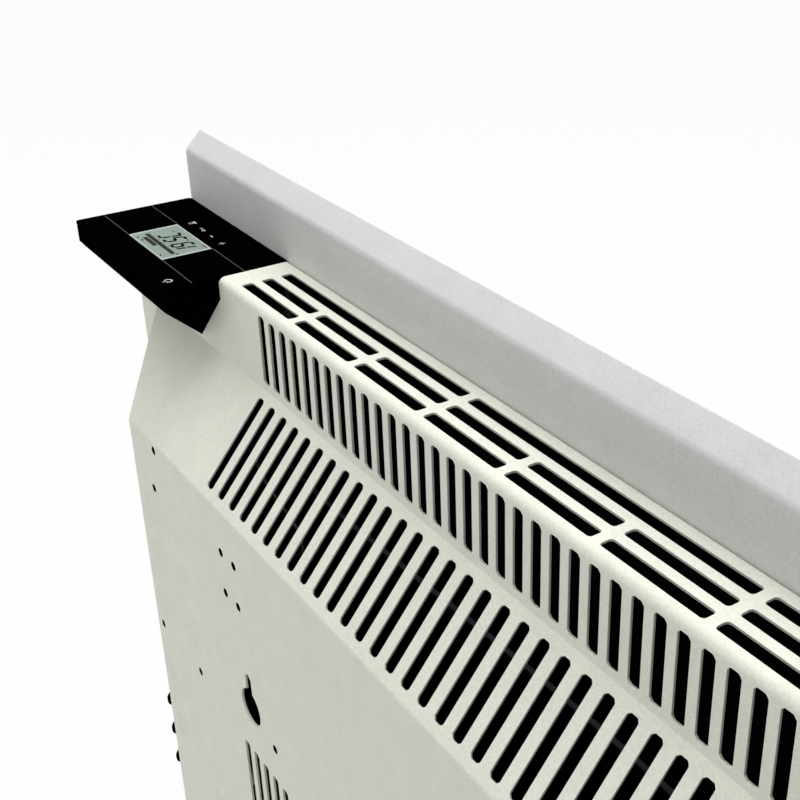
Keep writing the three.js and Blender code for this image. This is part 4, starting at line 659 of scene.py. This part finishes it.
def slot_corner_edge(edge):
    """A short edge across the sheet in the corner of a slot."""
    if not edge.is_manifold or not CORNER_LENGTHS[0] < edge.calc_length() < CORNER_LENGTHS[1]:
        return False
    return turns_within(edge, CORNER_TURNS)


def punched_edge(edge):
    """An edge of a slot in the casing's top, band or slanted face."""
    if not edge.is_manifold or any(vertex.co.z < GRILLE_ABOVE_Z for vertex in edge.verts):
        return False
    return turns_within(edge, PUNCHED_TURNS)


def bevel_picked(piece, test, width, segments, clamp=True):
    """Bevels the edges that pass the test."""
    mesh = edit(piece)
    count = pick(piece, mesh.edges, test)
    if not count:
        raise RuntimeError(f"no edge of {piece.name} passes {test.__name__}")
    bpy.ops.mesh.bevel(offset=width, segments=segments, affect="EDGES", clamp_overlap=clamp)
    leave_edit()


# Middles of the small holes in the rear face, across and up, in millimetres.
SMALL_HOLES_MM = (
    (184.55, 79.5), (190.85, 57.3), (206.95, -28.1), (162.85, -28.2), (84.45, -16.5),
    (-184.55, 57.3), (-162.85, -28.2), (-84.45, -16.5),
    (106.8, 42.7), (118.8, 42.7), (106.8, 62.7), (118.8, 62.7),
)
SMALL_HOLE_REACH = 2.4 * MM


def in_small_hole(polygon):
    """Whether a face is the wall of a small hole in the rear face."""
    place = polygon.center
    return -SHEET < place.y < 0 and any(
        math.hypot(place.x - across * MM, place.z - up * MM) < SMALL_HOLE_REACH
        for across, up in SMALL_HOLES_MM
    )


# How many sheets' thickness an inner face has behind it at most, and a slot's wall at least.
INNER_FACE_SHEETS = 1.6
SLOT_WALL_SHEETS = 2.5


def is_backed(piece, polygon, sheets):
    """Whether the piece's surface comes again within that many sheets' thickness behind a face."""
    inwards = -polygon.normal
    return piece.ray_cast(polygon.center + inwards * NEAR, inwards, distance=sheets * SHEET)[0]


def looks_inside(piece, polygon):
    """Whether a face is the sheet's inner face: thin behind, and turned to the casing's heart."""
    to_heart = CASING_HEART - polygon.center
    return is_backed(piece, polygon, INNER_FACE_SHEETS) and to_heart.dot(polygon.normal) > 0


SLOT_WALL_AREA = 160 * MM ** 2  # slot walls are smaller than this, and faces with slots in them larger


def is_slot_wall(piece, polygon):
    """Whether a face is the wall of a slot in the grille: small, with no sheet's back behind it."""
    if polygon.center.z < GRILLE_ABOVE_Z or polygon.area > SLOT_WALL_AREA:
        return False
    return not is_backed(piece, polygon, SLOT_WALL_SHEETS)


def mark_faces(piece, painted_shade_inside, painted_shade_wall):
    """Paints the inner faces and small holes' walls near black, as painted shade, and the grille's slot walls
    darker than the coat, as painted shade.
    """
    piece.data.materials.append(MATERIALS[painted_shade_inside])
    piece.data.materials.append(MATERIALS[painted_shade_wall])
    kinds = []
    for polygon in piece.data.polygons:
        if in_small_hole(polygon) or looks_inside(piece, polygon):
            kinds.append(1)
        else:
            kinds.append(2 if is_slot_wall(piece, polygon) else 0)
    for polygon, kind in zip(piece.data.polygons, kinds):
        polygon.material_index = kind


def check_flat_faces(piece):
    """Raises an error where a face has folded over itself, by more than a square millimetre."""
    piece.data.calc_loop_triangles()
    areas = [0.0] * len(piece.data.polygons)
    for triangle in piece.data.loop_triangles:
        areas[triangle.polygon_index] += triangle.area
    worst = max(area - polygon.area for area, polygon in zip(areas, piece.data.polygons))
    if worst > MM ** 2:
        raise RuntimeError(f"a face of {piece.name} folds over itself by {worst / MM ** 2:.1f} mm2")


class HEATER_OT_casing(bpy.types.Operator):
    """Rear casing with rounded folds, punched edges and soft beads"""

    bl_idname = "heater.casing"
    bl_label = "Rear Casing"

    def execute(self, context):
        settings = shapes()
        piece = copy_node("rear_casing", "casing_sheet", cut_through_rows)
        bevel_picked(piece, fold_edge, settings.fold_radius, 3)
        bevel_picked(piece, slot_corner_edge, settings.slot_corner, 2)
        bevel_picked(piece, punched_edge, settings.slot_edge, 2, clamp=False)
        soften_beads(piece)
        check_flat_faces(piece)
        paint(piece, "casing_powder")
        # Painted shade: near black on the inner faces and small holes' walls, a darker coat on the slot
        # walls.
        mark_faces(piece, "casing_inside_painted_shade", "casing_wall_painted_shade")
        smooth(piece, 35)
        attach(piece, "root")
        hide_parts("rear_casing")
        return {"FINISHED"}


# ------------------------------------------------------------------ panel, cassette and small parts

class HEATER_OT_panel(bpy.types.Operator):
    """Front panel of folded sheet"""

    bl_idname = "heater.panel"
    bl_label = "Front Panel"

    def execute(self, context):
        dress_copy("front_panel", "panel_sheet", "panel_powder", shapes().panel_edge, 3)
        return {"FINISHED"}


class HEATER_OT_cassette(bpy.types.Operator):
    """Controller base, cover and touch surface with moulded edges"""

    bl_idname = "heater.cassette"
    bl_label = "Controller Cassette"

    def execute(self, context):
        edge = shapes().moulded_edge
        dress_copy("controller_base", "cassette_hopper", "matt_black", edge)
        dress_copy("controller_cover", "cassette_cover", "gloss_black", edge)
        dress_copy("touch_fascia", "touch_surface", "gloss_black", edge / 2)
        return {"FINISHED"}


class HEATER_OT_fittings(bpy.types.Operator):
    """Switch, gland and clips with moulded edges"""

    bl_idname = "heater.fittings"
    bl_label = "Switch, Gland and Clips"

    def execute(self, context):
        edge = shapes().moulded_edge
        dress_copy("switch_body", "switch_frame", "switch_black", edge)
        dress_copy("switch_rocker", "rocker_key", "switch_black", edge, body="rocker")
        dress_copy("cord_gland", "gland_body", "matt_black", edge)
        for number in (1, 2, 3):
            dress_copy(f"cord_clip_{number}", f"clip_{number}", "matt_black", shapes().clip_edge, 3)
        return {"FINISHED"}


class HEATER_OT_inner_parts(bpy.types.Operator):
    """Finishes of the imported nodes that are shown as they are"""

    bl_idname = "heater.inner_parts"
    bl_label = "Inner Parts"

    def execute(self, context):
        for finish, nodes in NODE_FINISHES.items():
            for node in nodes:
                piece = frame["nodes"][node]
                piece.data.materials.clear()
                piece.data.materials.append(MATERIALS[finish])
        return {"FINISHED"}


# ------------------------------------------------------------------ prints

PRINT_SINK = 0.005 * MM  # how far under its surface a print starts
POINT_SHARE = 0.15  # how much of a bar's width is left at its pointed end


def printed_bar(name, centre, size, taper=0.0, turn=0.0):
    """A flat printed bar: its ends run out to points by taper, and it may be turned in its plane."""
    bpy.ops.object.select_all(action="DESELECT")
    bpy.ops.mesh.primitive_plane_add(size=1, location=centre)
    piece = bpy.context.object
    piece.name = piece.data.name = name
    piece.scale = (size[0] - 2 * taper, size[1], 1)
    piece.rotation_euler = (0, 0, turn)
    bpy.ops.object.transform_apply(location=False, rotation=False, scale=True)
    if taper:
        for side in (-1, 1):
            mesh = edit(piece)
            pick(piece, mesh.edges, lambda e, s=side: all(v.co.x * s > 0 for v in e.verts))
            bpy.ops.mesh.extrude_region_move(TRANSFORM_OT_translate={"value": (side * taper, 0, 0)})
            tip = piece.matrix_world @ Vector((side * size[0] / 2, 0, 0))
            bpy.ops.transform.resize(value=(1, POINT_SHARE, 1), center_override=tip)
            leave_edit()
    return piece


def thicken(piece, height):
    """Extrudes a flat print upwards by height."""
    edit(piece, "FACE")
    bpy.ops.mesh.select_all(action="SELECT")
    bpy.ops.mesh.extrude_region_move(TRANSFORM_OT_translate={"value": (0, 0, height)})
    bpy.ops.mesh.select_all(action="SELECT")
    bpy.ops.mesh.normals_make_consistent(inside=False)
    leave_edit()


def joined(name, pieces):
    """Joins the pieces into one object with its place in its mesh."""
    select_only(*pieces)
    if len(pieces) > 1:
        bpy.ops.object.join()
    whole = bpy.context.object
    whole.name = whole.data.name = name
    select_only(whole)
    bpy.ops.object.transform_apply(location=True, rotation=True, scale=True)
    return whole


def finish_print(name, pieces, ink):
    """Joins flat prints and gives them their thickness, ink and body."""
    whole = joined(name, pieces)
    thicken(whole, shapes().print_height)
    paint(whole, ink)
    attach(whole, "root")


# The display in millimetres from its corner at the far end and the panel, as it is read from the front.
DIGITS_MM = (("1", 5.65), ("9", 11.85), ("5", 20.15), ("C", 26.35))
DIGIT_MIDDLE_MM = 8.5
DIGIT_HEIGHT_MM = 8.8
DIGIT_WIDTH_MM = 3.9
DIGIT_STROKE_MM = 1.35
DIGIT_SLANT = math.radians(10)
SEGMENT_GAP = 0.3  # between two segments, in strokes
SEGMENT_TAPER = 0.45  # length of a segment's pointed end, in strokes
POINT_MM = (15.9, 4.3, 1.0, 0.9)  # here and below: across, up, length, width
LONG_BAR_MM = (19.0, 16.0, 30.6, 2.0)
SHORT_BAR_MM = (24.3, 18.4, 12.8, 2.0)
TICKS_MM = tuple((3.1 + 5.3 * step, 14.1, 1.5, 0.42) for step in range(7))
TICK_TURN = -0.45
SIGNS_MM = ((5.4, 21.2, 1.8, 0.6), (27.9, 20.5, 2.4, 0.6), (32.1, 20.9, 1.6, 0.6), (2.3, 15.0, 2.0, 0.5))
SIGN_TAPER_MM = 0.2
SIGN_TURN = -0.3
FAINT_SIGNS_MM = ((4.4, 1.4, 4.0, 0.9), (30.2, 5.0, 1.4, 1.3))

# Segments of a digit: middle of each as shares of the digit's half width and half height, and its turn.
SEGMENTS = {
    "top": (0, 1, False), "middle": (0, 0, False), "bottom": (0, -1, False),
    "upper_left": (-1, 0.5, True), "upper_right": (1, 0.5, True),
    "lower_left": (-1, -0.5, True), "lower_right": (1, -0.5, True),
}

# Which segments each sign lights.
LIT = {
    "1": ("upper_right", "lower_right"),
    "9": ("top", "middle", "bottom", "upper_left", "upper_right", "lower_right"),
    "5": ("top", "middle", "bottom", "upper_left", "lower_right"),
    "C": ("top", "bottom", "upper_left", "lower_left"),
}


def digit(sign, centre):
    """One slanted seven-segment digit, its top towards the wall."""
    width, height, stroke = DIGIT_WIDTH_MM * MM, DIGIT_HEIGHT_MM * MM, DIGIT_STROKE_MM * MM
    bars = []
    for segment in LIT[sign]:
        across, up, upright = SEGMENTS[segment]
        length = (height / 2 if upright else width) - SEGMENT_GAP * stroke
        rise = up * height / 2
        place = centre + Vector((across * width / 2 + rise * math.tan(DIGIT_SLANT), rise, 0))
        turn = math.pi / 2 - DIGIT_SLANT if upright else 0.0
        taper = SEGMENT_TAPER * stroke
        bars.append(printed_bar(f"segment_{segment}", place, (length, stroke), taper, turn))
    return bars


def display_place(across, up):
    """A point on the display's face, from millimetres across and up from its corner."""
    return Vector((WINDOW_LOW.x + across * MM, WINDOW_LOW.y + up * MM, WINDOW_HIGH.z - PRINT_SINK))


def display_bar(name, box, taper=0.0, turn=0.0):
    """A bar in the display; its box is across, up, length and width in millimetres."""
    across, up, length, width = box
    return printed_bar(name, display_place(across, up), (length * MM, width * MM), taper, turn)


class HEATER_OT_display(bpy.types.Operator):
    """Digits, bars and small signs in the display"""

    bl_idname = "heater.display"
    bl_label = "Display"

    def execute(self, context):
        digits = [display_bar("point", POINT_MM)]
        for sign, across in DIGITS_MM:
            digits += digit(sign, display_place(across, DIGIT_MIDDLE_MM))
        digits += [display_bar("sign", box, SIGN_TAPER_MM * MM, SIGN_TURN) for box in SIGNS_MM]
        finish_print("display_digits", digits, "digit_ink")
        bars = [display_bar("bar", box) for box in (LONG_BAR_MM, SHORT_BAR_MM)]
        finish_print("display_bars", bars, "bar_ink")
        faint = [display_bar("tick", box, turn=TICK_TURN) for box in TICKS_MM]
        faint += [display_bar("faint_sign", box) for box in FAINT_SIGNS_MM]
        finish_print("display_faint_signs", faint, "faint_ink")
        return {"FINISHED"}


def ring(name, centre, radius, width, gap=0.0):
    """A flat printed ring, with a gap of that many degrees on its wall side."""
    bpy.ops.object.select_all(action="DESELECT")
    bpy.ops.mesh.primitive_circle_add(vertices=32, radius=radius, location=centre)
    piece = bpy.context.object
    piece.name = piece.data.name = name
    mesh = edit(piece, "VERT")
    if gap:
        half = math.radians(gap / 2)
        pick(piece, mesh.verts, lambda v: abs(math.atan2(v.co.x, v.co.y)) < half)
        bpy.ops.mesh.delete(type="VERT")
    bpy.ops.mesh.select_all(action="SELECT")
    bpy.ops.mesh.extrude_edges_move()
    inner = 1 - width / radius
    bpy.ops.transform.resize(value=(inner, inner, 1), center_override=centre)
    bpy.ops.mesh.select_all(action="SELECT")
    bpy.ops.mesh.normals_make_consistent(inside=False)
    leave_edit()
    return piece


# Touch signs. Places are millimetres from the controller's end and from the panel.
MARK_BARS_MM = (  # place, length, width
    ("plus_across", (67.2, 14.1), 2.9, 0.4),
    ("plus_low", (67.2, 13.2), 0.4, 1.2),
    ("plus_high", (67.2, 15.0), 0.4, 1.2),
    ("minus", (56.2, 14.1), 2.6, 0.6),
    ("lock_body", (34.8, 13.0), 2.8, 1.2),
    ("standby_bar", (94.3, 51.6), 0.4, 2.2),
)
MARK_RINGS_MM = (  # place, radius, width, gap in degrees
    ("mode_sun", (47.0, 13.9), 0.9, 0.5, 0),
    ("mode_moon", (44.3, 13.9), 1.0, 0.45, 130),
    ("lock_bow", (34.8, 14.8), 1.0, 0.35, 0),
    ("standby_ring", (94.3, 50.2), 1.9, 0.6, 90),
)

# Two lines run out from both ends of the window: one along its wall side, one just past its panel side.
LINE_WINDOW_GAP = 0.5 * MM
LINE_END_GAP = 0.8 * MM
WALL_LINE_FAR_GAP = 0.4 * MM
PANEL_LINE_OFFSET = 0.3 * MM


def touch_place(from_end, from_panel):
    """A point on the touch surface, from millimetres from the controller's end and from the panel."""
    level = FASCIA_HIGH.z - PRINT_SINK
    return Vector((FASCIA_HIGH.x - from_end * MM, FASCIA_LOW.y + from_panel * MM, level))


class HEATER_OT_touch_marks(bpy.types.Operator):
    """Touch signs and the two lines on the touch surface"""

    bl_idname = "heater.touch_marks"
    bl_label = "Touch Marks and Lines"

    def execute(self, context):
        marks = [
            printed_bar(name, touch_place(*place), (length * MM, width * MM))
            for name, place, length, width in MARK_BARS_MM
        ]
        marks += [
            ring(name, touch_place(*place), radius * MM, width * MM, gap)
            for name, place, radius, width, gap in MARK_RINGS_MM
        ]
        finish_print("touch_signs", marks, "mark_ink")
        near_stretch = (FASCIA_HIGH.x - LINE_END_GAP, WINDOW_HIGH.x + LINE_WINDOW_GAP)
        far_start = WINDOW_LOW.x - LINE_WINDOW_GAP
        wall_line = (WINDOW_HIGH.y, near_stretch, (far_start, FASCIA_LOW.x + WALL_LINE_FAR_GAP))
        panel_line = (WINDOW_LOW.y - PANEL_LINE_OFFSET, near_stretch, (far_start, FASCIA_LOW.x))
        lines = []
        for y, *stretches in (wall_line, panel_line):
            for start, end in stretches:
                middle = Vector(((start + end) / 2, y, FASCIA_HIGH.z - PRINT_SINK))
                lines.append(printed_bar("line", middle, (start - end, shapes().line_width)))
        finish_print("touch_lines", lines, "line_ink")
        return {"FINISHED"}


# The rocker's two outer faces at rest: middle in millimetres, and how far each leans from the end's plane.
OFF_FACE_MM = (266.7, -51.95, 136.2)
OFF_FACE_LEAN = math.radians(3.4)
ON_FACE_MM = (267.55, -45.4, 136.2)
ON_FACE_LEAN = math.radians(-18.2)
ROCKER_STROKE = 0.4 * MM
OFF_RING_RADIUS = 1.5 * MM
ON_BAR_LENGTH = 2.8 * MM


def lay_on_rocker(mark, middle, lean):
    """Gives a flat mark its thickness and lays it on one of the rocker's faces."""
    thicken(mark, shapes().print_height)
    mark.rotation_euler = (0, math.pi / 2, lean)
    mark.location = Vector(middle) * MM - Vector((math.cos(lean), math.sin(lean), 0)) * PRINT_SINK


class HEATER_OT_rocker_marks(bpy.types.Operator):
    """Generic off and on marks on the mains rocker"""

    bl_idname = "heater.rocker_marks"
    bl_label = "Rocker Marks"

    def execute(self, context):
        origin = Vector((0, 0, 0))
        off = ring("rocker_off", origin, OFF_RING_RADIUS, ROCKER_STROKE)
        lay_on_rocker(off, OFF_FACE_MM, OFF_FACE_LEAN)
        on = printed_bar("rocker_on", origin, (ROCKER_STROKE, ON_BAR_LENGTH))
        lay_on_rocker(on, ON_FACE_MM, ON_FACE_LEAN)
        marks = joined("rocker_signs", [off, on])
        paint(marks, "mark_ink")
        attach(marks, "rocker")
        return {"FINISHED"}


# ------------------------------------------------------------------ stage

class HEATER_OT_stage(bpy.types.Operator):
    """Camera, soft light and pale floor"""

    bl_idname = "heater.stage"
    bl_label = "Stage"

    def execute(self, context):
        settings = context.scene.heater_stage
        place_camera(settings)
        light_world(settings)
        place_lamps(settings)
        lay_floor()
        context.scene.view_settings.view_transform = "Standard"
        return {"FINISHED"}


# The camera's axes in the heater's frame.
CAMERA_RIGHT = Vector((-0.58423, -0.81159, 0.00058))
CAMERA_DOWN = Vector((-0.37175, 0.26697, -0.88912))
CAMERA_FORWARD = Vector((0.72144, -0.51966, -0.45768))
IMAGE_SIDE_PX = 800
SENSOR_WIDTH_MM = 36


def place_camera(settings):
    """Stands the camera where the photograph was taken."""
    bpy.ops.object.camera_add(location=settings.camera_place)
    camera = bpy.context.object
    camera.name = "camera"
    axes = Matrix((CAMERA_RIGHT, -CAMERA_DOWN, -CAMERA_FORWARD)).transposed()
    camera.matrix_world = Matrix.Translation(settings.camera_place) @ axes.to_4x4()
    camera.data.sensor_width = SENSOR_WIDTH_MM
    camera.data.lens = SENSOR_WIDTH_MM * settings.focal_px / IMAGE_SIDE_PX
    camera.data.shift_x = 0.5 - settings.centre_px[0] / IMAGE_SIDE_PX
    camera.data.shift_y = settings.centre_px[1] / IMAGE_SIDE_PX - 0.5
    camera.data.clip_start = 0.01
    bpy.context.scene.camera = camera


def calculation(nodes, operation):
    """A new node that does one calculation."""
    node = nodes.new("ShaderNodeMath")
    node.operation = operation
    return node


def seen_directly(nodes, links):
    """1 where the camera, a mirror or a window looks at this surface, and else 0."""
    path = nodes.new("ShaderNodeLightPath")
    value = path.outputs["Is Camera Ray"]
    for name in ("Is Glossy Ray", "Is Transmission Ray"):
        either = calculation(nodes, "MAXIMUM")
        links.new(value, either.inputs[0])
        links.new(path.outputs[name], either.inputs[1])
        value = either.outputs[0]
    return value


SKY_COLOUR = (1.0, 1.0, 0.985, 1)
BACKDROP_COLOUR = (0.97, 1.0, 0.99, 1)


def light_world(settings):
    """Soft light all round, stronger from the wall's side, and white where the background is seen."""
    world = bpy.data.worlds.new("soft_studio")
    bpy.context.scene.world = world
    world.use_nodes = True
    nodes, links = world.node_tree.nodes, world.node_tree.links
    light = nodes["Background"]
    light.inputs["Color"].default_value = SKY_COLOUR
    direction = nodes.new("ShaderNodeTexCoord")
    parts = nodes.new("ShaderNodeSeparateXYZ")
    links.new(direction.outputs["Generated"], parts.inputs["Vector"])
    wall_side = calculation(nodes, "MAXIMUM")
    wall_side.inputs[1].default_value = 0.0
    links.new(parts.outputs["Y"], wall_side.inputs[0])
    strength = calculation(nodes, "MULTIPLY_ADD")
    strength.inputs[1].default_value = settings.wall_side_strength
    strength.inputs[2].default_value = settings.world_strength
    links.new(wall_side.outputs["Value"], strength.inputs[0])
    links.new(strength.outputs["Value"], light.inputs["Strength"])
    backdrop = nodes.new("ShaderNodeBackground")
    backdrop.inputs["Color"].default_value = BACKDROP_COLOUR
    backdrop.inputs["Strength"].default_value = 1.0
    mix = nodes.new("ShaderNodeMixShader")
    links.new(seen_directly(nodes, links), mix.inputs["Fac"])
    links.new(light.outputs["Background"], mix.inputs[1])
    links.new(backdrop.outputs["Background"], mix.inputs[2])
    links.new(mix.outputs["Shader"], nodes["World Output"].inputs["Surface"])


LAMP_SIZE = 1.2
FRONT_LAMP_PLACE = (-0.1, -0.9, 1.5)
TOP_LAMP_PLACE = (-0.1, 0.0, 1.8)
END_LAMP_PLACE = (1.4, 0.4, 1.2)


def add_lamp(name, place, power):
    """A square lamp that faces the middle of the heater."""
    bpy.ops.object.light_add(type="AREA", location=place)
    lamp = bpy.context.object
    lamp.name = name
    lamp.data.shape = "SQUARE"
    lamp.data.size = LAMP_SIZE
    lamp.data.energy = power
    middle = (CAD_BOX[0] + CAD_BOX[1]) / 2
    lamp.rotation_euler = (middle - Vector(place)).to_track_quat("-Z", "Y").to_euler()


def place_lamps(settings):
    """Three large lamps: above the front, straight above, and past the controller end."""
    add_lamp("front_lamp", FRONT_LAMP_PLACE, settings.front_power)
    add_lamp("top_lamp", TOP_LAMP_PLACE, settings.top_power)
    add_lamp("end_lamp", END_LAMP_PLACE, settings.end_power)


FLOOR_SIZE = 8
FLOOR_COLOUR = (0.82, 0.84, 0.84, 1)
FLOOR_GLOW = 0.95  # how much of the seen floor is plain white; the rest takes light and shadow


def lay_floor():
    """A pale floor at the heater's lowest point, white where it is seen and unshaded."""
    bpy.ops.mesh.primitive_plane_add(size=FLOOR_SIZE, location=(0, 0, CAD_BOX[0].z))
    floor = bpy.context.object
    floor.name = "floor"
    material = bpy.data.materials.new("pale_floor")
    material.use_nodes = True
    nodes, links = material.node_tree.nodes, material.node_tree.links
    surface = nodes["Principled BSDF"]
    surface.inputs["Base Color"].default_value = FLOOR_COLOUR
    surface.inputs["Roughness"].default_value = 0.9
    surface.inputs["Specular IOR Level"].default_value = 0.0
    glow = nodes.new("ShaderNodeEmission")
    glow.inputs["Color"].default_value = (1, 1, 1, 1)
    share = calculation(nodes, "MULTIPLY")
    share.inputs[1].default_value = FLOOR_GLOW
    links.new(seen_directly(nodes, links), share.inputs[0])
    mix = nodes.new("ShaderNodeMixShader")
    links.new(share.outputs[0], mix.inputs["Fac"])
    links.new(surface.outputs["BSDF"], mix.inputs[1])
    links.new(glow.outputs["Emission"], mix.inputs[2])
    links.new(mix.outputs["Shader"], nodes["Material Output"].inputs["Surface"])
    floor.data.materials.append(material)


# ------------------------------------------------------------------ sidebar and running order

# Every step, in running order.
OPERATORS = (
    HEATER_OT_stage,
    HEATER_OT_casing,
    HEATER_OT_panel,
    HEATER_OT_cassette,
    HEATER_OT_fittings,
    HEATER_OT_inner_parts,
    HEATER_OT_display,
    HEATER_OT_touch_marks,
    HEATER_OT_rocker_marks,
)


class HEATER_PT_sidebar(bpy.types.Panel):
    """Lists the heater's settings and steps"""

    bl_idname = "HEATER_PT_sidebar"
    bl_label = "Panel Heater"
    bl_space_type = "VIEW_3D"
    bl_region_type = "UI"
    bl_category = "Heater"

    def draw(self, context):
        column = self.layout.column()
        for group in (context.scene.heater_finish, context.scene.heater_shape, context.scene.heater_stage):
            for name in group.__annotations__:
                column.prop(group, name)
            column.separator()
        for operator in OPERATORS:
            column.operator(operator.bl_idname)


CLASSES = (HeaterFinishSettings, HeaterShapeSettings, HeaterStageSettings, *OPERATORS, HEATER_PT_sidebar)


def register():
    """Registers the classes and hangs the settings on the scene."""
    for item in CLASSES:
        bpy.utils.register_class(item)
    bpy.types.Scene.heater_finish = bpy.props.PointerProperty(type=HeaterFinishSettings)
    bpy.types.Scene.heater_shape = bpy.props.PointerProperty(type=HeaterShapeSettings)
    bpy.types.Scene.heater_stage = bpy.props.PointerProperty(type=HeaterStageSettings)


def unregister():
    """Takes the settings and classes away again."""
    for name in ("heater_finish", "heater_shape", "heater_stage"):
        delattr(bpy.types.Scene, name)
    for item in reversed(CLASSES):
        bpy.utils.unregister_class(item)


def main():
    """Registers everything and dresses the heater."""
    register()
    MATERIALS.update(make_materials())
    for operator in OPERATORS:
        getattr(bpy.ops.heater, operator.bl_idname.removeprefix("heater."))()


if __name__ == "__main__":
    main()
